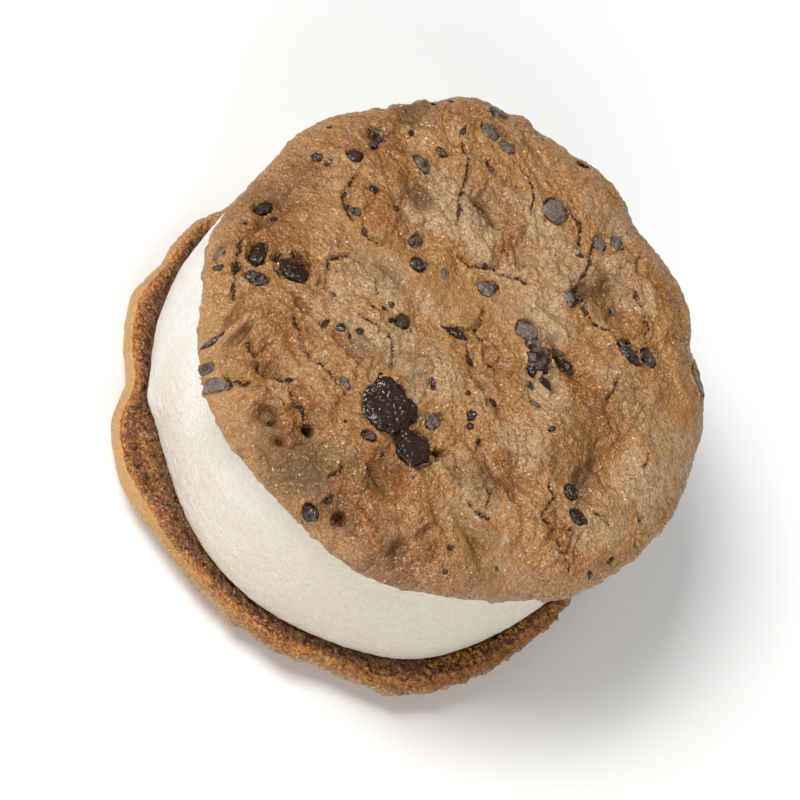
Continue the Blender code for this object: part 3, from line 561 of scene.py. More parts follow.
def forms(x, y, rows):
    """Sum of turned lumps and dimples, each its height times e to minus the fourth power of its distance in
    half widths, so that its sides are steep."""
    total = np.zeros(np.shape(x))
    for centre_x, centre_y, wide, deep, turn, height in rows:
        along, across = turned(x, y, centre_x, centre_y, turn)
        away = (along / wide) ** 2 + (across / deep) ** 2
        total += height * np.exp(-(np.minimum(away, FAR) ** 2))
    return total


def rim_fade(share):
    """Lessens relief towards the rim: 1 less 0.6 of the share of the radius to the power 8."""
    return 1 - 0.6 * share**8


def relief(x, y, share, lumps, seed):
    """Swell and lumps, lower towards the rim."""
    return (swell(x, y, seed) + mounds(x, y, lumps, LUMP_EDGE)) * rim_fade(share)


def random_places(draw, count, low, high, spacing):
    """Places between two radii, each at least spacing from the others."""
    places = []
    while len(places) < count:
        reach = math.sqrt(draw.uniform(low**2, high**2))
        heading = draw.uniform(0, 2 * math.pi)
        place = (reach * math.cos(heading), reach * math.sin(heading))
        if all(math.dist(place, other) > spacing for other in places):
            places.append(place)
    return places


def grain(points, size, seed):
    """Gradient noise from about -1 to 1 with features of a size.

    Each corner of a cubic lattice has a random direction. The value is the mean of the eight corners' dot
    products with the way from corner to point, weighted by a smooth step along each axis."""
    period = 32
    slopes = np.random.default_rng(seed).normal(size=(period,) * 3 + (3,))
    slopes /= np.linalg.norm(slopes, axis=-1, keepdims=True)
    place = points / size
    cell = np.floor(place).astype(int)
    inside = place - cell
    ease = inside**3 * (inside * (inside * 6 - 15) + 10)
    total = np.zeros(len(points))
    for corner in np.ndindex(2, 2, 2):
        slope = slopes[tuple(((cell + corner) % period).T)]
        weight = np.prod(np.where(corner, ease, 1 - ease), axis=1)
        total += weight * np.sum(slope * (inside - corner), axis=1)
    return total * 1.7


def layered(points, size, seed, layers=3):
    """Gradient noise in layers, each half the size and half the height of the one before."""
    return sum(grain(points, size / 2**k, seed + k) / 2**k for k in range(layers))


def ellipse_ratio(x, y, rows):
    """Least distance to the centres of turned ellipses, in their half widths."""
    nearest = np.full(np.shape(x), 99.0)
    for centre_x, centre_y, wide, deep, turn, *_ in rows:
        along, across = turned(x, y, centre_x, centre_y, turn)
        nearest = np.minimum(nearest, np.hypot(along / wide, across / deep))
    return nearest


def crack_distance(x, y, cracks):
    """Least distance to the cracks' edges in mm, below 0 inside, where each narrows towards both ends."""
    nearest = np.full(np.shape(x), FAR)
    for width, *points in cracks:
        line_x, line_y = lay_on_dome(*np.array(points, float).T)
        steps_x, steps_y = np.diff(line_x), np.diff(line_y)
        steps = np.hypot(steps_x, steps_y)
        gone = 0.0
        for at, step in enumerate(steps):
            run_x, run_y = steps_x[at] / step, steps_y[at] / step
            from_x, from_y = x - line_x[at], y - line_y[at]
            along = np.clip(from_x * run_x + from_y * run_y, 0, step)
            away = np.hypot(from_x - along * run_x, from_y - along * run_y)
            share = (gone + along) / steps.sum()
            taper = 0.4 + 0.6 * np.sqrt(np.clip(4 * share * (1 - share), 0, 1))
            nearest = np.minimum(nearest, away - CRACK_SHARE * width * taper)
            gone += step
    return nearest


def new_mesh(name, points, triangles, attributes, finish):
    """A smooth-shaded object from points in millimetres, triangles, and attributes with a value at each."""
    mesh = bpy.data.meshes.new(name)
    mesh.vertices.add(len(points))
    mesh.vertices.foreach_set("co", (points * MM).astype(np.float32).ravel())
    mesh.loops.add(triangles.size)
    mesh.loops.foreach_set("vertex_index", triangles.astype(np.int32).ravel())
    mesh.polygons.add(len(triangles))
    mesh.polygons.foreach_set("loop_start", np.arange(0, triangles.size, 3, dtype=np.int32))
    mesh.update(calc_edges=True)
    for key, values in attributes.items():
        layer = mesh.attributes.new(key, "FLOAT", "POINT")
        layer.data.foreach_set("value", np.broadcast_to(values, len(points)).astype(np.float32))
    mesh.shade_smooth()
    mesh.materials.append(finish)
    made = bpy.data.objects.new(name, mesh)
    bpy.context.scene.collection.objects.link(made)
    return made


def split_cells(a, b, c, d):
    """Two triangles for each cell, from arrays of its corners."""
    return np.stack([np.stack([a, b, c], -1), np.stack([a, c, d], -1)], -2).reshape(-1, 3)


def ring_triangles(rings, sides):
    """Triangles between rings of points, each of which closes on itself."""
    number = np.arange(rings * sides).reshape(rings, sides)
    after = np.roll(number, -1, axis=1)
    return split_cells(number[:-1], after[:-1], after[1:], number[1:])


class CookieSkin:
    """A cookie's skin: a square grid mapped to a disc over the dome, then rows round the rim and in along
    the baked face to a point on the axis. Each point has its angle, section and normal before any relief."""

    turn_rows = 6
    inner_share = 0.86
    mean_radius = 45

    def __init__(self, cells, face_rows, radii, thickness):
        side = np.linspace(-1, 1, cells + 1)
        a, b = np.meshgrid(side, side, indexing="ij")
        number = np.arange(a.size).reshape(a.shape)
        border = np.concatenate([number[:-1, 0], number[-1, :-1], number[:0:-1, -1], number[0, :0:-1]])
        ring, angle = self.disc_from_square(a.ravel(), b.ravel())
        share = self.even_shares(ring, thickness)
        rim_angle = angle[border]
        step = 1e-3
        outer = np.maximum(share, step)
        reach = radius_at(angle, radii)
        fall = (dome_height(outer, thickness) - dome_height(outer - step, thickness)) / (step * reach)
        lean = np.sqrt(1 + fall**2)
        turn = np.arange(1, self.turn_rows + 1) / self.turn_rows * math.pi / 2
        face = np.linspace(UNDERCUT_SHARE, self.inner_share, face_rows + 1)[1:]
        row_share = np.concatenate([UNDERCUT_SHARE + (1 - UNDERCUT_SHARE) * np.cos(turn), face])
        row_height = np.concatenate([WIDEST_Z * (1 - np.sin(turn)), np.zeros(face_rows)])
        row_outward = np.concatenate([np.cos(turn), np.zeros(face_rows)])
        row_upward = np.concatenate([-np.sin(turn), -np.ones(face_rows)])
        rows, around = len(row_share), len(border)

        def every(values, last):
            """Row values for every point of every row, then the one at the axis."""
            return np.append(np.repeat(values, around), last)

        self.angle = np.concatenate([angle, np.tile(rim_angle, rows), [0.0]])
        self.share = np.concatenate([share, every(row_share, 0.0)])
        self.under = np.concatenate([np.zeros(a.size), every(np.arange(1, rows + 1) / self.turn_rows, rows)])
        self.height = np.concatenate([dome_height(share, thickness), every(row_height, 0.0)])
        self.outward = np.concatenate([-fall / lean, every(row_outward, 0.0)])
        self.upward = np.concatenate([1 / lean, every(row_upward, -1.0)])
        self.reach = radius_at(self.angle, radii)
        rim_and_face = self.row_triangles(border, a.size, rows)
        self.triangles = np.concatenate([self.disc_triangles(a, b, number), rim_and_face])

    @staticmethod
    def disc_from_square(a, b):
        """Ring from 0 to 1 and angle: each square ring becomes a circle, its points evenly spaced."""
        wide = np.abs(a) >= np.abs(b)
        reach = np.where(wide, a, b)
        ratio = np.where(wide, b, a) / np.where(reach == 0, 1, reach)
        angle = np.where(wide, ratio * math.pi / 4, math.pi / 2 - ratio * math.pi / 4)
        return np.abs(reach), np.where(reach < 0, angle + math.pi, angle)

    @classmethod
    def even_shares(cls, ring, thickness):
        """Share of the radius at which the dome's section has run the ring's part of its length."""
        share = 1 - (1 - np.linspace(0, 1, 4000)) ** 3
        run = np.hypot(np.diff(share) * cls.mean_radius, np.diff(dome_height(share, thickness)))
        length = np.concatenate([[0], np.cumsum(run)])
        return np.interp(ring, length / length[-1], share)

    @staticmethod
    def disc_triangles(a, b, number):
        """Cells split along the diagonal that runs outwards, so that none is cut into slivers."""
        p, q, r, s = number[:-1, :-1], number[1:, :-1], number[1:, 1:], number[:-1, 1:]
        outwards = ((a[:-1, :-1] + a[1:, 1:]) * (b[:-1, :-1] + b[1:, 1:]) > 0)[..., None]
        first = np.where(outwards, np.stack([p, q, r], -1), np.stack([q, r, s], -1))
        second = np.where(outwards, np.stack([p, r, s], -1), np.stack([q, s, p], -1))
        return np.concatenate([first.reshape(-1, 3), second.reshape(-1, 3)])

    @staticmethod
    def row_triangles(border, start, rows):
        """Two triangles for each cell between rows, and a fan that closes the last one."""
        around = len(border)
        number = np.vstack([border, start + np.arange(rows * around).reshape(rows, around)])
        after = np.roll(number, -1, axis=1)
        cells = split_cells(number[:-1], number[1:], after[1:], after[:-1])
        centre = np.full(around, start + rows * around)
        return np.concatenate([cells, np.stack([number[-1], centre, after[-1]], -1)])

    def level(self):
        """x and y of each point before relief."""
        radius = self.reach * self.share
        return radius * np.cos(self.angle), radius * np.sin(self.angle)

    def points(self, bump):
        """Each point of the section moved by its bump along the section's normal, over a base at 0."""
        radius = self.reach * self.share + bump * self.outward
        height = self.height + bump * self.upward
        return np.column_stack([radius * np.cos(self.angle), radius * np.sin(self.angle), height])


def crust_relief(skin, lumps, seed):
    """Swell and lumps on the dome, none under the rim, as in the solid."""
    x, y = skin.level()
    return np.where(skin.under > 0, 0, relief(x, y, skin.share, lumps, seed))


def random_lobes(seed):
    """Small lumps and dimples at random places on a cookie, laid out like the forms."""
    draw = np.random.default_rng(seed)
    return [
        (*place, *draw.uniform(*LOBE_HALF_SIZES, 2), draw.uniform(0, 180), draw.choice(LOBE_HEIGHTS))
        for place in random_places(draw, LOBE_COUNT, 0, LOBE_REACH, LOBE_SPACING)
    ]


def dough(points, calm, rubble, settings, seed):
    """Height of knobs and grains of baked dough, and a share from 0 to 1 of the folds between the knobs.

    Knobs are rounded heaps with creases between them: the noise's size without its sign, so that it folds at
    zero, in layers of noise that is itself bent by noise. Grains are the same and smaller, and not bent.
    Both are lower where the dough is calm, and knobs are higher in rubble."""
    bend = [grain(points, DOUGH_BEND, seed + axis) for axis in range(3)]
    bent = points + np.stack(bend, axis=1)
    heaps = [np.abs(grain(bent, size, seed + 3 + at)) for at, size in enumerate(HEAP_SIZES)]
    grains = [np.abs(grain(points, size, seed + 8 + at)) for at, size in enumerate(GRAIN_SIZES)]
    broken = np.clip(0.4 + 1.5 * grain(points, 4.0, seed + 6) + rubble, 0, 1) * (1 - calm)
    folds = bell(heaps[1], 0, 0.06) * broken
    knobs = heaps[0] + 0.6 * heaps[1] + 0.35 * heaps[2] - 0.6
    height = settings.knob_height * knobs * (1 - 0.8 * calm + 1.1 * rubble)
    height += settings.grain_height * (grains[0] + 0.8 * grains[1] - 0.5) * (1 - 0.4 * calm)
    return height - 0.3 * folds, folds


def fringe(skin, points, seed):
    """Ragged teeth round the rim's lower edge: patches of noise, only where the rim turns under."""
    under = bell(skin.under, 0.5, 0.4) * (skin.under > 0)
    above = 0.3 * bell(skin.share, 1, 0.012) * (skin.under == 0)
    patchy = np.clip(0.5 + grain(points, 9.0, seed + 3), 0.1, 1)
    return (under + above) * patchy * layered(points, 2.6, seed)


def add(tree, kind, inputs=None, **settings):
    """Adds a node with its settings, and fills each input with a value or with another node's output."""
    node = tree.nodes.new(kind)
    for name, value in settings.items():
        setattr(node, name, value)
    for key, value in (inputs or {}).items():
        if isinstance(value, bpy.types.NodeSocket):
            tree.links.new(value, node.inputs[key])
        else:
            node.inputs[key].default_value = value
    return node


def blank_material(name):
    """A material with only its output, and its node tree."""
    made = bpy.data.materials.new(name)
    made.use_nodes = True
    made.node_tree.nodes.clear()
    return made, made.node_tree


def scaled(tree, vector, factor):
    inputs = {0: vector, "Scale": factor}
    return add(tree, "ShaderNodeVectorMath", inputs, operation="SCALE").outputs["Vector"]


def in_millimetres(tree):
    """Object coordinates in millimetres, so that a noise of scale 1 has features about 1 mm across."""
    return scaled(tree, add(tree, "ShaderNodeTexCoord").outputs["Object"], 1 / MM)


def attribute(tree, name):
    return add(tree, "ShaderNodeAttribute", attribute_name=name).outputs["Fac"]


def ranged(tree, value, low, high, to_low=0.0, to_high=1.0):
    """A value eased from one range to another, and held at its ends."""
    inputs = {"Value": value, "From Min": low, "From Max": high, "To Min": to_low, "To Max": to_high}
    return add(tree, "ShaderNodeMapRange", inputs, interpolation_type="SMOOTHSTEP").outputs["Result"]


def reckoned(tree, operation, first, second=0.0):
    inputs = {0: first, 1: second}
    return add(tree, "ShaderNodeMath", inputs, operation=operation).outputs["Value"]


def times(tree, first, second):
    return reckoned(tree, "MULTIPLY", first, second)


def plus(tree, first, second):
    return reckoned(tree, "ADD", first, second)


def less(tree, first, second):
    return reckoned(tree, "SUBTRACT", first, second)


def laid_over(tree, colour, *layers):
    """A colour with others laid over it in turn, each by its own share from 0 to 1."""
    for share, over in layers:
        inputs = {"Factor": share, "A": colour, "B": over}
        colour = add(tree, "ShaderNodeMix", inputs, data_type="RGBA").outputs["Result"]
    return colour


def noise(tree, place, size, detail=3.0, roughness=0.55, output="Fac"):
    """Noise with features of a size in millimetres."""
    inputs = {"Vector": place, "Scale": 1 / size, "Detail": detail, "Roughness": roughness}
    return add(tree, "ShaderNodeTexNoise", inputs).outputs[output]


def finish_with(tree, inputs, bump_height, bump_depth):
    """A Principled surface with a bump of a depth in millimetres, wired to the output."""
    bumped = {"Height": bump_height, "Distance": bump_depth * MM, "Strength": 1.0}
    normal = add(tree, "ShaderNodeBump", bumped).outputs["Normal"]
    shader = add(tree, "ShaderNodeBsdfPrincipled", {"Normal": normal, **inputs})
    add(tree, "ShaderNodeOutputMaterial", {"Surface": shader.outputs["BSDF"]})


def crazed_skin(tree, place, patches):
    """Share of fine crazing: edges of cells bent by noise, in patches, where the crust is dusty."""
    bend = scaled(tree, noise(tree, place, 1.4, detail=1.0, roughness=0.5, output="Color"), 2.2)
    bent = add(tree, "ShaderNodeVectorMath", {0: place, 1: bend}, operation="ADD").outputs["Vector"]
    inputs = {"Vector": bent, "Scale": 1 / 2.4}
    edge = add(tree, "ShaderNodeTexVoronoi", inputs, feature="DISTANCE_TO_EDGE").outputs["Distance"]
    crazing = times(tree, ranged(tree, edge, 0.0, 0.05, 1.0, 0.0), ranged(tree, patches, 0.4, 0.6))
    return times(tree, crazing, ranged(tree, attribute(tree, "dusty"), 0.1, 0.7))


def baked_cookie_crust():
    """Baked cookie dough: a dry skin that wrinkled as it set. It browned most where it stood up, stayed
    olive in the hollows, and split where it rose. Sugar and butter give it a broken, low gloss. Its colour
    also holds painted shade in creases, hollows, cracks and round chips, and painted light and glints."""
    made, tree = blank_material("baked cookie crust")
    tint = colours()
    place = in_millimetres(tree)
    patches = noise(tree, place, 7.0, detail=2.0)
    mottle = noise(tree, place, 1.5, detail=2.0, roughness=0.6)
    fine = noise(tree, place, 0.42, detail=1.0, roughness=0.6)
    granules = noise(tree, place, 0.9, detail=2.0, roughness=0.6)
    face = attribute(tree, "baked_face")
    dark = attribute(tree, "dark")
    crack = attribute(tree, "crack")

    # Broad tints, and the porous baked face, charred in a ring and gilt at its edge.
    uneven = ranged(tree, patches, 0.35, 0.65, -0.35, 0.35)
    dusty = plus(tree, attribute(tree, "dusty"), uneven)
    browned = less(tree, attribute(tree, "browned"), times(tree, uneven, 0.5))
    olive = plus(tree, attribute(tree, "olive"), times(tree, uneven, 0.4))
    charred = plus(tree, attribute(tree, "baked_ring"), ranged(tree, granules, 0.35, 0.65, 0.5, -0.4))
    gilt = plus(tree, attribute(tree, "baked_rim"), ranged(tree, granules, 0.35, 0.65, -0.4, 0.4))
    face_tone = laid_over(
        tree,
        tint.baked_face,
        (ranged(tree, charred, 0.1, 0.8), tint.baked_ring),
        (ranged(tree, gilt, 0.2, 1.1), tint.baked_rim),
    )

    # Grains with painted shade in their hollows and painted highlight on their peaks, and painted glints,
    # fewer where the crust is calm or dark.
    quiet = reckoned(tree, "MAXIMUM", attribute(tree, "calm"), dark)
    coarse = ranged(tree, quiet, 0.0, 1.0, 1.0, 0.45)
    # Painted highlight: sparse spots where the fine noise peaks, coloured near white as glints.
    painted_glint_spots = times(tree, ranged(tree, fine, 0.67, 0.73), ranged(tree, granules, 0.55, 0.63))

    # Painted shade in openings: thin splits, and pits with a ragged edge, coloured near black.
    rough_edge = ranged(tree, fine, 0.3, 0.7, -0.35, 0.35)
    split = ranged(tree, plus(tree, crack, times(tree, rough_edge, 0.25)), -0.04, 0.1, 0.9, 0.0)
    sunk_shade = ranged(tree, plus(tree, attribute(tree, "pit_shade"), rough_edge), 0.3, 1.4, 1.0, 0.0)
    painted_shade_in_openings = reckoned(tree, "MAXIMUM", split, times(tree, sunk_shade, 0.9))

    colour = laid_over(
        tree,
        tint.crust,
        (ranged(tree, dusty, 0.05, 0.95), tint.crust_dusty),
        (ranged(tree, browned, 0.1, 0.9), tint.crust_browned),
        (ranged(tree, olive, 0.15, 1.2), tint.crust_olive),
        # Painted shade on the side away from the key light.
        (attribute(tree, "side_painted_shade"), tint.side_painted_shade),
        (face, face_tone),
        # Painted shade where the dark attribute says, over darker crust.
        (ranged(tree, dark, 0.0, 1.0, 0.0, 0.75), tint.dark_crust_and_shade),
        (ranged(tree, mottle, 0.45, 0.75, 0.0, 0.35), tint.dark_crust_and_shade),
        # Painted shade in the creases between knobs and round the chips' edges.
        (times(tree, attribute(tree, "crease_shade"), 0.55), tint.dark_crust_and_shade),
        (times(tree, crazed_skin(tree, place, patches), 0.6), tint.dark_crust_and_shade),
        # Painted shade in the hollows of the fine bump, and painted highlight on its peaks.
        (times(tree, ranged(tree, fine, 0.28, 0.5, 0.5, 0.0), coarse), tint.dark_crust_and_shade),
        (times(tree, ranged(tree, fine, 0.5, 0.7, 0.0, 0.35), coarse), tint.grain_painted_highlight),
        # Painted light on the side toward the key light.
        (times(tree, attribute(tree, "side_painted_light"), 0.75), tint.side_painted_light),
        # Painted glints, fewer on the baked face.
        (times(tree, painted_glint_spots, ranged(tree, face, 0.0, 1.0, 0.8, 0.2)), tint.painted_highlight),
        (ranged(tree, crack, 0.0, 0.6, 0.35, 0.0), tint.dark_crust_and_shade),
        (painted_shade_in_openings, tint.crack),
    )
    height = less(tree, plus(tree, mottle, times(tree, fine, 0.45)), times(tree, split, 0.5))
    glazed = times(tree, ranged(tree, fine, 0.5, 0.62), ranged(tree, granules, 0.42, 0.58))
    glazed = times(tree, glazed, ranged(tree, face, 0.0, 1.0, 1.0, 0.4))
    inputs = {
        "Base Color": colour,
        "Roughness": ranged(tree, glazed, 0.0, 1.0, 0.46, 0.15),
        "Specular IOR Level": ranged(tree, glazed, 0.0, 1.0, 0.5, 1.0),
        "IOR": 1.45,
    }
    finish_with(tree, inputs, height, 0.6)
    return made


def tempered_chocolate():
    """Dark chocolate that melted and set again: glossy and bubbled where it stayed dark, dull and grey
    where its cocoa butter bloomed. The bloom attribute says which."""
    made, tree = blank_material("dark chocolate")
    tint = colours()
    place = in_millimetres(tree)
    blotch = noise(tree, place, 1.1, detail=2.0)
    bubbles = add(tree, "ShaderNodeTexVoronoi", {"Vector": place, "Scale": 1 / 0.8}).outputs["Distance"]
    bloom = plus(tree, attribute(tree, "bloom"), ranged(tree, blotch, 0.3, 0.7, -0.3, 0.3))
    bloom = ranged(tree, bloom, 0.25, 1.0)
    inputs = {
        "Base Color": laid_over(tree, tint.chocolate, (bloom, tint.bloom)),
        "Roughness": ranged(tree, bloom, 0.0, 1.0, 0.24, 0.45),
        "Specular IOR Level": 0.6,
        "IOR": 1.5,
    }
    finish_with(tree, inputs, less(tree, blotch, times(tree, bubbles, 0.5)), 0.4)
    return made


def golden_crumb():
    """Crumbs broken from the rim: toasted, rough and matt."""
    made, tree = blank_material("toasted crumb")
    tint = colours()
    mottle = noise(tree, in_millimetres(tree), 0.5)
    colour = laid_over(tree, tint.crumb, (ranged(tree, mottle, 0.35, 0.65), tint.crust_browned))
    finish_with(tree, {"Base Color": colour, "Roughness": 0.6, "IOR": 1.45}, mottle, 0.2)
    return made


def vanilla_ice_cream():
    """Ice cream cut from a tub: ivory, with a fine frozen grain, and a glow under its skin where light
    goes in. It is painted a shade darker and warmer on its near-right side, away from the key light,
    and towards its bottom, as painted shade."""
    made, tree = blank_material("vanilla ice cream")
    tint = colours()
    place = in_millimetres(tree)
    broad = noise(tree, place, 14.0)
    frost = noise(tree, place, 0.75, detail=3.0, roughness=0.6)
    crystals = noise(tree, place, 0.25, detail=2.0)
    flecks = noise(tree, place, 1.2, detail=1.0)
    # Painted shade from the soft attribute, varied by broad noise.
    painted_shade_share = plus(tree, attribute(tree, "soft"), ranged(tree, broad, 0.35, 0.65, -0.2, 0.2))
    colour = laid_over(
        tree,
        tint.ice_cream,
        (ranged(tree, painted_shade_share, 0.0, 1.0), tint.ice_cream_painted_shade),
        (ranged(tree, flecks, 0.72, 0.8, 0.0, 0.2), tint.crumb),
        # The grain's tone, darker in the hollows of the bump as painted shade.
        (ranged(tree, frost, 0.3, 0.55, 0.22, 0.0), tint.ice_cream_shade),
    )
    inputs = {
        "Base Color": colour,
        "Roughness": 0.55,
        "IOR": 1.35,
        "Subsurface Weight": 0.35,
        "Subsurface Radius": (1.0, 0.75, 0.5),
        "Subsurface Scale": 1.0 * MM,
    }
    finish_with(tree, inputs, plus(tree, frost, times(tree, crystals, 0.35)), 0.45)
    return made


def finish_named(name, maker):
    """The material of a name, made on first use."""
    return bpy.data.materials.get(name) or maker()


def kept_in_box(points):
    """Points held inside the solids' box, in millimetres."""
    low, high = (np.array(corner) / MM for corner in CAD_BOX)
    return np.clip(points, low, high)


def place_piece(piece, slot, *nodes):
    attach(piece, "root")
    if nodes:
        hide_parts(*nodes)


def side_band(skin, heading, half_width, low, high):
    """Share from 0 to 1 of a stretch of a cookie's side: between two heights, round a heading in degrees."""
    away = np.abs(np.angle(np.exp(1j * (skin.angle - math.radians(heading))))) / math.radians(half_width)
    upright = np.clip((skin.height - low) / 1.2, 0, 1) * np.clip((high - skin.height) / 1.2, 0, 1)
    return np.clip(1.5 - 1.5 * away, 0, 1) * upright * (skin.under < 1)


def upper_lumps():
    return laid_rows(UPPER_LUMPS)


def upper_crust_height(x, y):
    """Height over the floor of the upper crust, without knobs and wrinkles."""
    share = np.minimum(np.hypot(x, y) / radius_at(np.arctan2(y, x), UPPER_RADII), 1)
    bump = relief(x, y, share, upper_lumps(), UPPER_SWELL_SEED)
    return UPPER_BASE_Z + dome_height(share, UPPER_THICKNESS) + bump


def lower_crust_shape():
    """Lumps of the lower crust and rows of its chips, drawn at random in the same order as the solid's."""
    draw = np.random.default_rng(LOWER_SEED)
    lumps = [(0, 0, FOOT_RADIUS, FOOT_RADIUS, FOOT_PRESS)]
    for x, y in random_places(draw, LOWER_LUMP_COUNT, 24, 42, 5):
        lumps.append((x, y, *draw.uniform(3, 6, 2), draw.choice([-0.8, 0.7, 1.0])))
    places = random_places(draw, LOWER_CHIP_COUNT, 27, 41, 6)
    chips = [(x, y, *draw.uniform(1.3, 2.6, 2), 0, 0.5) for x, y in places]
    return lumps, chips


def jogged(points, x, y):
    """Places pushed about by noise, so that what is laid out by them gets an uneven edge."""
    jogs = [
        0.35 * grain(points, 1.3, UPPER_SEED + axis) + 0.9 * grain(points, 5.0, UPPER_SEED + 2 + axis)
        for axis in (0, 1)
    ]
    return x + jogs[0], y + jogs[1]


def upper_marks(skin, points):
    """Distances to the nearest crack in mm, and to the nearest hollow, chip and speck in half widths. Noise
    bends the cracks and roughens the edges of hollows and chips. None reaches under the rim."""
    x, y = skin.level()
    bends = [
        0.3 * grain(points, 1.5, UPPER_SEED + 5 + axis) + 0.2 * grain(points, 0.7, UPPER_SEED + 7 + axis)
        for axis in (0, 1)
    ]
    cracks = crack_distance(x + bends[0], y + bends[1], UPPER_CRACKS)
    cracks += 0.16 * grain(points, 1.3, UPPER_SEED + 9)
    hollows = ellipse_ratio(x + 0.2 * grain(points, 1.2, UPPER_SEED + 8), y, laid_rows(UPPER_HOLLOWS))
    chips = ellipse_ratio(x, y, laid_rows(UPPER_CHIPS)) * (1 + 0.12 * grain(points, 1.6, UPPER_SEED + 12))
    specks = ellipse_ratio(x, y, laid_rows(UPPER_SPECKS))
    return [np.where(skin.under == 0, distance, FAR) for distance in (cracks, hollows, chips, specks)]


def upper_raised(skin, jog_x, jog_y, calm, settings):
    """Height of the lobes and the placed forms. A tanh holds what stands up under RAISED_LIMIT."""
    x, y = skin.level()
    lobes = settings.lobe_height * forms(jog_x, jog_y, random_lobes(UPPER_SEED + 11)) * (1 - calm)
    placed = forms(x + 0.7 * (jog_x - x), y + 0.7 * (jog_y - y), laid_rows(UPPER_FORMS))
    raised = (lobes + FORM_SCALE * placed) * rim_fade(skin.share) * (skin.under == 0)
    return np.where(raised > 0, RAISED_LIMIT * np.tanh(raised / RAISED_LIMIT), raised)


def upper_cuts(cracks, hollows, chips, specks, settings):
    """Height of the low lips beside cracks and chips, less the cracks, the hollows and the beds of chips."""
    lips = 0.15 * bell(cracks, 0.6, 0.35) + 0.35 * bell(chips, 1.2, 0.15)
    beds = bell(chips, 0, 1, 14) + 0.3 * bell(specks, 0, 0.9, 6)
    split = settings.crack_depth * bell(np.maximum(cracks, 0), 0, CRACK_SLOPE)
    return lips - beds - split - 1.2 * bell(hollows, 0, 1, 3)


class SANDWICH_OT_upper_cookie(bpy.types.Operator):
    """Make the upper cookie, crust side up"""

    bl_idname = "sandwich.upper_cookie"
    bl_label = "Upper Cookie"

    def execute(self, context):
        settings = sizes()
        skin = CookieSkin(settings.upper_cells, 6, UPPER_RADII, UPPER_THICKNESS)
        bump = crust_relief(skin, upper_lumps(), UPPER_SWELL_SEED)
        points = skin.points(bump)
        x, y = skin.level()
        on_crust = skin.under == 0
        jog_x, jog_y = jogged(points, x, y)
        cracks, hollows, chips, specks = upper_marks(skin, points)
        calm, rubble = (zone(x, y, laid_rows(rows)) for rows in (UPPER_CALM, UPPER_RUBBLE))
        texture, folds = dough(points, calm, rubble * (1 - calm), settings, UPPER_SEED + 10)
        texture *= 1 - 0.5 * skin.share**6
        raised = upper_raised(skin, jog_x, jog_y, calm, settings)
        bump += (texture + raised) * (1 - bell(chips, 0, 1.15, 8)) + fringe(skin, points, UPPER_SEED + 20)
        bump += upper_cuts(cracks, hollows, chips, specks, settings)

        edge_x = jog_x + 1.5 * grain(points, 4.0, UPPER_SEED + 4)
        tints = {key: zone(edge_x, jog_y, laid_rows(rows)) for key, rows in UPPER_ZONES.items()}
        tints["browned"] = np.clip(tints["browned"] + 0.3 * raised, 0, 1)
        # Painted shade: the dark tint grows where the forms are low and fades on raised ones.
        tints["dark"] = np.clip(0.9 * tints["dark"] - 0.4 * raised, 0, 1)
        # Painted shade in a thin ring round each chip's edge, broken by noise.
        chip_edge_shade = bell(chips, 1.04, 0.12) * np.clip(0.8 + 1.6 * grain(points, 3.0, UPPER_SEED + 21), 0, 1)
        near_chip = 0.1 + 1.3 * np.minimum(chips, specks)
        attributes = {
            **{key: np.where(on_crust, value, 0) for key, value in tints.items()},
            "crack": cracks,
            # Painted shade: near black in the hollows and round the edges of chips and specks.
            "pit_shade": np.minimum(np.minimum(hollows, near_chip), FAR),
            "crease_shade": np.where(on_crust, np.maximum(folds, 2.2 * chip_edge_shade), 0),
            "calm": np.where(on_crust, calm, 0),
            # Painted light on the near-left side and painted shade on the near-right side.
            "side_painted_light": 0.3 * side_band(skin, 238, 30, -1.0, 7.6),
            "side_painted_shade": 0.35 * side_band(skin, 310, 40, -1.0, 7.0),
            "baked_face": np.clip(1.5 * skin.under - 0.2, 0, 1),
            "baked_ring": 0.3 + 0.4 * bell(skin.under, 1.5, 0.8),
            "baked_rim": bell(skin.under, 0.6, 0.35) * (skin.under > 0),
        }
        points = kept_in_box(skin.points(bump) + [0, 0, UPPER_BASE_Z])
        finish = finish_named("baked cookie crust", baked_cookie_crust)
        piece = new_mesh("upper_crust", points, skin.triangles, attributes, finish)
        place_piece(piece, "crust", "upper_cookie")
        return {"FINISHED"}


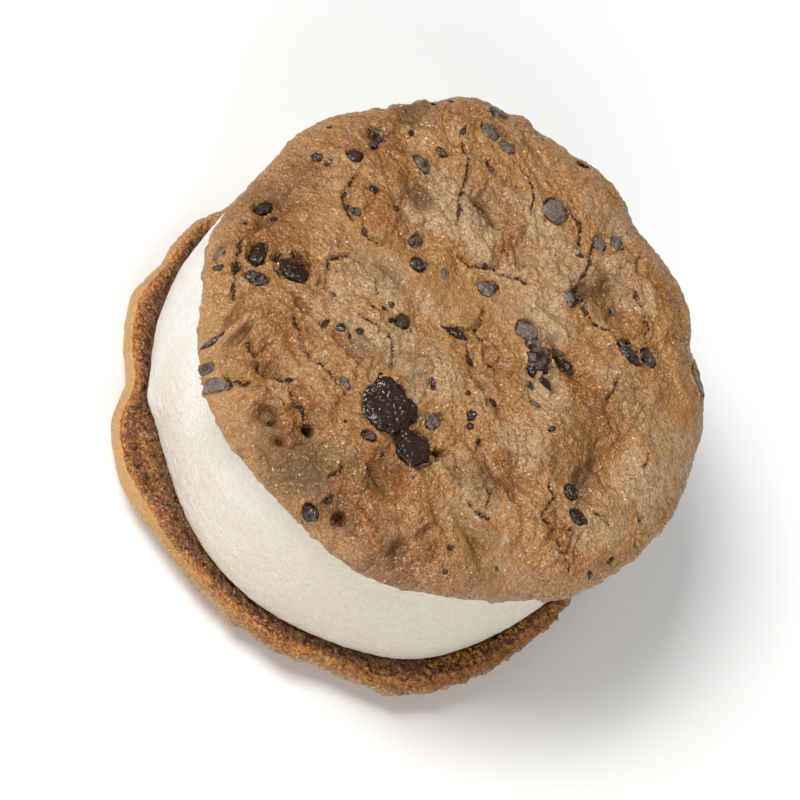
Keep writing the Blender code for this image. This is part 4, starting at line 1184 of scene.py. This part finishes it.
class SANDWICH_OT_lower_cookie(bpy.types.Operator):
    """Make the lower cookie, crust side down, with its baked face round the ice cream"""

    bl_idname = "sandwich.lower_cookie"
    bl_label = "Lower Cookie"

    def execute(self, context):
        settings = sizes()
        skin = CookieSkin(settings.lower_cells, 20, LOWER_RADII, LOWER_THICKNESS)
        lumps, chips = lower_crust_shape()
        bump = crust_relief(skin, lumps, LOWER_SEED)
        points = skin.points(bump)
        tone = layered(points, 9.0, LOWER_DOUGH_SEED + 16)
        raised = np.clip(bump / 1.2, -1, 1)
        x, y = skin.level()
        on_crust = skin.under == 0
        face = np.clip(skin.under - 1, 0, 1)
        gap = np.where(on_crust, ellipse_ratio(x, y, chips), FAR)
        # Side toward the key light: painted paler, and with less rough dough.
        side = side_band(skin, 220, 65, -2.0, 6.0)
        rough, folds = dough(points, 0.3 * face, 0, settings, LOWER_DOUGH_SEED)
        pores = grain(points, 0.9, LOWER_DOUGH_SEED + 10) + 0.6 * grain(points, 2.2, LOWER_DOUGH_SEED + 11)
        pores = np.clip(pores, 0, 1)
        lumpy = 0.25 * grain(points, 3.5, LOWER_DOUGH_SEED + 12)
        lumpy += 0.3 * grain(points, 1.3, LOWER_DOUGH_SEED + 13)
        bump += np.where(skin.under >= 1, lumpy - 0.25 - 0.7 * pores, rough * (1 - 0.7 * side))
        bump += 0.3 * fringe(skin, points, LOWER_DOUGH_SEED + 14) - 0.55 * bell(gap, 0, 1.08, 8)

        ring = skin.share * skin.reach
        past_edge = ring - skin.reach * UNDERCUT_SHARE
        beside = np.maximum(ring - radius_at(skin.angle, ICE_CREAM_RADII), 0)
        toward_left = 0.5 + 0.5 * np.cos(skin.angle + math.radians(125))
        attributes = {
            "dusty": np.where(on_crust, np.clip(0.4 + tone, 0, 1), 0),
            "browned": np.where(on_crust, np.clip(0.5 * raised + 0.3 * tone, 0, 1), 0),
            "olive": np.where(on_crust, np.clip(-raised, 0, 1), 0),
            # Painted shade: dark on the lowest parts of the crust, and on the baked face next to the ice
            # cream, where shade falls between the parts.
            "dark": np.where(on_crust, np.clip(-raised - 0.5, 0, 1), 1.2 * face * bell(beside, 0, 1.2)),
            "crack": FAR,
            # Painted shade round the lower chips and in the pores of the baked face.
            "pit_shade": np.where(on_crust, np.minimum(0.1 + 1.3 * gap, FAR), 1.9 - 1.9 * pores * face),
            # Painted shade in the creases between knobs.
            "crease_shade": np.where(on_crust, folds, 0),
            # Painted light on the near-left side, painted shade on the near right.
            "side_painted_light": side,
            "side_painted_shade": 0.3 * side_band(skin, 320, 60, -2.0, 4.0),
            "baked_face": np.clip(2.0 * skin.under - 0.2, 0, 1),
            "baked_rim": bell(past_edge, -0.2, 0.8) + 0.5 * (1 - toward_left) * face,
            "baked_ring": 1.1 * bell(past_edge, -2.2, 1.2) + 0.3 * toward_left * face,
        }
        points = skin.points(bump)
        points[:, 2] = np.clip(BAKED_FACE_Z - points[:, 2], 0, BAKED_FACE_Z)
        finish = finish_named("baked cookie crust", baked_cookie_crust)
        turned_over = skin.triangles[:, ::-1]
        piece = new_mesh("lower_crust", kept_in_box(points), turned_over, attributes, finish)
        place_piece(piece, "crust", "lower_cookie")
        return {"FINISHED"}


def chopped(around, count, seed):
    """Outlines of chopped pieces as radii at each angle: polygons whose sides lie at random headings and
    distances, their corners rounded by taking the tenth root of the sum of tenth powers."""
    draw = np.random.default_rng(seed)
    even = np.arange(CHIP_SIDES) * 2 * math.pi / CHIP_SIDES
    heading = even + draw.uniform(-0.45, 0.45, (count, CHIP_SIDES)) + draw.uniform(0, 6, (count, 1))
    distance = draw.uniform(0.82, 1.0, (count, CHIP_SIDES))
    near = np.cos(around[None, :, None] - heading[:, None]) / distance[:, None]
    return np.sum(np.maximum(near, 0) ** 10, axis=-1) ** -0.1


def blobs(rows, rings, sides, half_height, roughness, seed):
    """Lumpy blocks, one for each row of x, y, z, half width, half depth, turn.

    Each is a ball of rings and sides, chopped, stretched to its half sizes and turned, whose distance from
    its centre is scaled by 1 plus noise. Gives points, triangles, and each point's row."""
    rows = np.asarray(rows, float)
    up = np.linspace(-math.pi / 2, math.pi / 2, rings)
    around = np.arange(sides) * 2 * math.pi / sides
    level = np.abs(np.cos(up)) ** 0.45
    level[[0, -1]] = 0
    upright = np.sign(up) * np.abs(np.sin(up)) ** 1.2
    across, away = np.outer(level, np.cos(around)), np.outer(level, np.sin(around))
    shell = np.stack([across, away, np.outer(upright, np.ones(sides))], axis=-1)
    half = np.stack([rows[:, 3], rows[:, 4], half_height], axis=1)
    apart = 7.3 * np.arange(len(rows))[:, None, None, None]
    rough = layered((shell[None] * 2.1 + apart).reshape(-1, 3), 1.1, seed).reshape(len(rows), rings, sides)
    local = shell[None] * half[:, None, None, :] * (1 + roughness * rough)[..., None]
    local[..., :2] *= chopped(around, len(rows), seed + 5)[:, None, :, None]
    local[:, [0, -1]] = local[:, [0, -1]].mean(axis=2, keepdims=True)
    turn = np.radians(rows[:, 5])[:, None, None]
    x = local[..., 0] * np.cos(turn) - local[..., 1] * np.sin(turn)
    y = local[..., 0] * np.sin(turn) + local[..., 1] * np.cos(turn)
    points = np.stack([x, y, local[..., 2]], -1) + rows[:, None, None, :3]
    one = ball_triangles(rings, sides)
    triangles = (one[None] + rings * sides * np.arange(len(rows))[:, None, None]).reshape(-1, 3)
    points, triangles, kept = merged_poles(points.reshape(-1, 3), triangles, rings, sides)
    return points, triangles, np.repeat(np.arange(len(rows)), rings * sides)[kept]


def ball_triangles(rings, sides):
    """Cells of a ball of rings, each split in two, with the ones that vanish at the poles left out."""
    cells = ring_triangles(rings, sides).reshape(rings - 1, sides, 2, 3)
    return np.concatenate([cells[1:, :, 0].reshape(-1, 3), cells[:-1, :, 1].reshape(-1, 3)])


def merged_poles(points, triangles, rings, sides):
    """Keeps one point at each pole of each ball, and renumbers the triangles to it."""
    number = np.arange(len(points))
    within = number % (rings * sides)
    pole = (within < sides) | (within >= (rings - 1) * sides)
    keeper = np.where(pole, number - within % sides, number)
    kept = keeper == number
    renumbered = np.cumsum(kept) - 1
    return points[kept], renumbered[keeper[triangles]], kept


def chip_rows(rows, settings):
    """Rows for blobs of chips sunk in the upper crust, all but their rise, with half heights and bloom."""
    table = laid_rows(rows)
    x, y, wide, deep = table[:, :4].T
    least = np.minimum(wide, deep)
    half_height = np.clip(0.6 * least, 0.35, 0.9)
    rise = np.minimum(settings.chip_rise, 0.35 * least)
    return np.column_stack([x, y, rise - half_height, wide, deep, table[:, 4]]), half_height, table[:, 5]


def make_chips(name, points, triangles, bloom):
    finish = finish_named("dark chocolate", tempered_chocolate)
    piece = new_mesh(name, kept_in_box(points), triangles, {"bloom": bloom}, finish)
    place_piece(piece, "chips")


def make_upper_chips(name, rows, rings, sides, roughness, seed):
    """Chips that follow the crust under them, each tilted a little towards its own side."""
    placed, half_height, bloom = chip_rows(rows, sizes())
    points, triangles, owner = blobs(placed, rings, sides, half_height, roughness, seed)
    x, y, _, wide, deep = placed[owner, :5].T
    heading = 7.0 * x + 3.0 * y
    lever = (points[:, 0] - x) * np.cos(heading) + (points[:, 1] - y) * np.sin(heading)
    tilt = np.minimum(CHIP_TILT, CHIP_TILT / np.minimum(wide, deep))
    points[:, 2] += upper_crust_height(points[:, 0], points[:, 1]) + tilt * lever
    make_chips(name, points, triangles, bloom[owner])


def make_lower_chips():
    """Chips in the lower crust, which faces down."""
    lumps, chips = lower_crust_shape()
    x, y, wide, deep, turn, bloom = np.array(chips).T
    share = np.hypot(x, y) / radius_at(np.arctan2(y, x), LOWER_RADII)
    crust = dome_height(share, LOWER_THICKNESS) + relief(x, y, share, lumps, LOWER_SEED)
    half_height = np.full(len(x), LOWER_CHIP_HALF_HEIGHT)
    z = np.maximum(BAKED_FACE_Z - crust - sizes().chip_rise, 0.05) + half_height
    placed = np.column_stack([x, y, z, wide, deep, turn])
    points, triangles, owner = blobs(placed, 18, 28, half_height, 0.2, CHIP_SEED + 4)
    make_chips("lower_chips", points, triangles, bloom[owner])


class SANDWICH_OT_chips(bpy.types.Operator):
    """Make the chocolate chips in both crusts"""

    bl_idname = "sandwich.chips"
    bl_label = "Chocolate Chips"

    def execute(self, context):
        make_upper_chips("upper_chips", UPPER_CHIPS, 30, 60, 0.22, CHIP_SEED)
        make_upper_chips("upper_chip_crumbs", UPPER_SPECKS, 9, 14, 0.3, CHIP_SEED + 2)
        make_lower_chips()
        return {"FINISHED"}


class SANDWICH_OT_crumbs(bpy.types.Operator):
    """Scatter golden crumbs on the baked face and in a smear on the near right"""

    bl_idname = "sandwich.crumbs"
    bl_label = "Crumbs"

    around = 70
    smear = 90
    smear_headings = (-34, -5)

    def execute(self, context):
        draw = np.random.default_rng(CRUMB_SEED)
        count = self.around + self.smear
        anywhere = draw.uniform(0, 2 * math.pi, self.around)
        heading = np.append(anywhere, np.radians(draw.uniform(*self.smear_headings, self.smear)))
        edge = radius_at(heading, LOWER_RADII) * UNDERCUT_SHARE
        inner = radius_at(heading, ICE_CREAM_RADII) + 0.1
        spread = np.append(draw.uniform(0.05, 0.95, self.around), draw.uniform(0, 0.3, self.smear))
        reach = inner + (edge - inner) * spread
        size = sizes().crumb_size * draw.uniform(0.4, 1.0, count) ** 1.5
        low = np.full(count, BAKED_FACE_Z - 0.3)
        low[self.around :] += draw.uniform(0, 0.5, self.smear)
        deep = size * draw.uniform(0.6, 1.3, count)
        turn = draw.uniform(0, 180, count)
        rows = np.column_stack([reach * np.cos(heading), reach * np.sin(heading), low, size, deep, turn])
        points, triangles, _ = blobs(rows, 7, 9, 0.8 * size, 0.9, CRUMB_SEED + 2)
        finish = finish_named("toasted crumb", golden_crumb)
        place_piece(new_mesh("crumbs", kept_in_box(points), triangles, {}, finish), "crust")
        return {"FINISHED"}


def ice_cream_section(tall):
    """Inset from the widest line and height of the section's points: flat in to a ring, a rounded corner,
    the wall, and the same at the top."""
    corner = ICE_CREAM_EDGE_ROUND
    turn = np.linspace(math.pi / 2, 0, ICE_CREAM_CORNER_ROWS)
    wall = np.linspace(corner, tall - corner, ICE_CREAM_WALL_ROWS + 2)[1:-1]
    inward, rise = corner * (1 - np.cos(turn)), corner * (1 - np.sin(turn))
    flat = [ICE_CREAM_FLAT_INSET]
    inset = np.concatenate([flat, inward, np.zeros(ICE_CREAM_WALL_ROWS), inward[::-1], flat])
    height = np.concatenate([[0.0], rise, wall, tall - rise[::-1], [tall]])
    return inset, height


class SANDWICH_OT_ice_cream(bpy.types.Operator):
    """Make the thick slice of ice cream between the cookies"""

    bl_idname = "sandwich.ice_cream"
    bl_label = "Ice Cream"

    def execute(self, context):
        low, high = ICE_CREAM_Z
        tall = high - low
        inset, z = ice_cream_section(tall)
        rows, around = len(z), ICE_CREAM_SIDES
        angle = np.arange(around) * 2 * math.pi / around
        aside = (np.angle(np.exp(1j * (angle - LIP_HEADING))) / LIP_HALF_WIDTH) ** 2
        lip = LIP_REACH * np.exp(-z[:, None] / LIP_HEIGHT - aside[None])
        barrel = ICE_CREAM_BARREL * (1 - ((z - tall / 2) / (tall / 2)) ** 2)
        radius = radius_at(angle, ICE_CREAM_RADII)[None] - inset[:, None] + barrel[:, None] + lip
        height = np.broadcast_to(z[:, None] + low, radius.shape)
        points = np.stack([radius * np.cos(angle), radius * np.sin(angle), height], -1).reshape(-1, 3)

        dents = 0.07 * layered(points, 9.0, ICE_CREAM_SEED) + 0.07 * layered(points, 2.0, ICE_CREAM_SEED + 3)
        grains = 0.05 * grain(points, 1.0, ICE_CREAM_SEED + 7)
        flow = 0.05 * grain(points * [1, 1, 6], 9.0, ICE_CREAM_SEED + 6)
        on_wall = np.repeat(inset < 0.9 * ICE_CREAM_EDGE_ROUND, around)
        moved = np.where(on_wall, dents + grains + flow - 0.1, 0)
        points[:, :2] *= (1 + moved / np.hypot(points[:, 0], points[:, 1]))[:, None]

        bottom, top = rows * around, rows * around + 1
        first = np.arange(around)
        last = (rows - 1) * around + first
        floor_fan = np.stack([np.full(around, bottom), np.roll(first, -1), first], -1)
        top_fan = np.stack([np.full(around, top), last, np.roll(last, -1)], -1)
        triangles = np.concatenate([ring_triangles(rows, around), floor_fan, top_fan])
        points = np.vstack([points, [0, 0, low], [0, 0, high]])
        heading = np.arctan2(points[:, 1], points[:, 0])
        # Painted shade: the soft attribute is largest on the near-right side, away from the key light, and
        # grows towards the bottom.
        away_from_light = (0.5 + 0.5 * np.cos(heading - SHADED_HEADING)) ** 1.7
        soft = away_from_light + 0.25 * (1 - (points[:, 2] - low) / tall)
        finish = finish_named("vanilla ice cream", vanilla_ice_cream)
        piece = new_mesh("ice_cream_slice", points, triangles, {"soft": soft}, finish)
        place_piece(piece, "ice_cream", "ice_cream")
        return {"FINISHED"}


# The camera looks down on the near side, turned about its line of sight.
VIEW_DISTANCE = 1000.0
VIEW_ELEVATION = math.radians(58.44)
VIEW_ROLL = math.radians(46.63)
PHOTO_PIXELS = 800
PIXELS_PER_MM = 6.0437
SEEN_POINT = (0.0, 0.0, 45.0)
SEEN_PIXEL = (454.17, 350.42)
SENSOR_WIDTH = 36.0

# Lights: place and size in metres, power in watts, colour.
KEY_LIGHT = ((-0.71, -0.4, 1.38), 0.58, 20.4, (1.0, 0.99, 0.97))
FILL_LIGHT = ((0.8, -1.5, 1.4), 0.9, 15.2, (1.0, 0.995, 0.985))
SKY_STRENGTH = 0.24
AIM = (0, 0, 0.03)
FLOOR_HALF_WIDTH = 3000.0
FLOOR_GAP = 0.02


def make_camera():
    """A camera with no shift: its target is moved so that SEEN_POINT falls on SEEN_PIXEL."""
    right = Vector((1, 0, 0))
    up = Vector((0, math.sin(VIEW_ELEVATION), math.cos(VIEW_ELEVATION)))
    ahead = Vector((0, math.cos(VIEW_ELEVATION), -math.sin(VIEW_ELEVATION)))
    across = right * math.cos(VIEW_ROLL) + up * math.sin(VIEW_ROLL)
    upward = up * math.cos(VIEW_ROLL) - right * math.sin(VIEW_ROLL)
    off_x = (SEEN_PIXEL[0] - PHOTO_PIXELS / 2) / PIXELS_PER_MM
    off_y = (PHOTO_PIXELS / 2 - SEEN_PIXEL[1]) / PIXELS_PER_MM
    place = Vector(SEEN_POINT) - across * off_x - upward * off_y - ahead * VIEW_DISTANCE
    data = bpy.data.cameras.new("camera")
    data.sensor_width = SENSOR_WIDTH
    data.lens = PIXELS_PER_MM * VIEW_DISTANCE * SENSOR_WIDTH / PHOTO_PIXELS
    data.clip_end = 10
    camera = bpy.data.objects.new("camera", data)
    turned = Matrix((across, upward, -ahead)).transposed()
    camera.matrix_world = Matrix.Translation(place * MM) @ turned.to_4x4()
    bpy.context.scene.collection.objects.link(camera)
    bpy.context.scene.camera = camera


def area_light(name, place, size, power, colour):
    """A square soft light in metres, aimed at the sandwich."""
    data = bpy.data.lights.new(name, "AREA")
    data.size = size
    data.energy = power
    data.color = colour
    light = bpy.data.objects.new(name, data)
    light.location = place
    aim = Vector(AIM) - Vector(place)
    light.rotation_euler = aim.to_track_quat("-Z", "Y").to_euler()
    bpy.context.scene.collection.objects.link(light)


class SANDWICH_OT_stage(bpy.types.Operator):
    """Make the pale floor, the soft studio light and the camera"""

    bl_idname = "sandwich.stage"
    bl_label = "Floor, Light and Camera"

    def execute(self, context):
        made, tree = blank_material("pale studio floor")
        inputs = {"Base Color": linear("FFFFFF"), "Roughness": 0.9, "Specular IOR Level": 0.1}
        shader = add(tree, "ShaderNodeBsdfPrincipled", inputs)
        add(tree, "ShaderNodeOutputMaterial", {"Surface": shader.outputs["BSDF"]})
        corners = FLOOR_HALF_WIDTH * np.array([[-1, -1, 0], [1, -1, 0], [1, 1, 0], [-1, 1, 0]])
        floor = new_mesh("floor", corners - [0, 0, FLOOR_GAP], np.array([[0, 1, 2], [0, 2, 3]]), {}, made)
        world = bpy.data.worlds.new("studio")
        world.use_nodes = True
        background = world.node_tree.nodes["Background"]
        background.inputs["Color"].default_value = (1.0, 1.0, 1.0, 1.0)
        background.inputs["Strength"].default_value = SKY_STRENGTH
        context.scene.world = world
        context.scene.view_settings.view_transform = "Standard"
        area_light("key", *KEY_LIGHT)
        area_light("fill", *FILL_LIGHT)
        make_camera()
        return {"FINISHED"}


class SANDWICH_PT_panel(bpy.types.Panel):
    """Lists the settings and the steps"""

    bl_idname = "SANDWICH_PT_panel"
    bl_label = "Ice Cream Cookie Sandwich"
    bl_space_type = "VIEW_3D"
    bl_region_type = "UI"
    bl_category = "Sandwich"

    def draw(self, context):
        for group in (context.scene.sandwich_sizes, context.scene.sandwich_colours):
            box = self.layout.box()
            for key in group.bl_rna.properties.keys():
                if key not in ("rna_type", "name"):
                    box.prop(group, key)
        for step in STEPS:
            self.layout.operator(step.bl_idname)


STEPS = (
    SANDWICH_OT_lower_cookie,
    SANDWICH_OT_ice_cream,
    SANDWICH_OT_upper_cookie,
    SANDWICH_OT_chips,
    SANDWICH_OT_crumbs,
    SANDWICH_OT_stage,
)
CLASSES = (SandwichSizes, SandwichColours, *STEPS, SANDWICH_PT_panel)


def register():
    for item in CLASSES:
        bpy.utils.register_class(item)
    bpy.types.Scene.sandwich_sizes = bpy.props.PointerProperty(type=SandwichSizes)
    bpy.types.Scene.sandwich_colours = bpy.props.PointerProperty(type=SandwichColours)


def unregister():
    del bpy.types.Scene.sandwich_colours
    del bpy.types.Scene.sandwich_sizes
    for item in reversed(CLASSES):
        bpy.utils.unregister_class(item)


def main():
    register()
    bpy.ops.sandwich.lower_cookie()
    bpy.ops.sandwich.ice_cream()
    bpy.ops.sandwich.upper_cookie()
    bpy.ops.sandwich.chips()
    bpy.ops.sandwich.crumbs()
    bpy.ops.sandwich.stage()


if __name__ == "__main__":
    main()
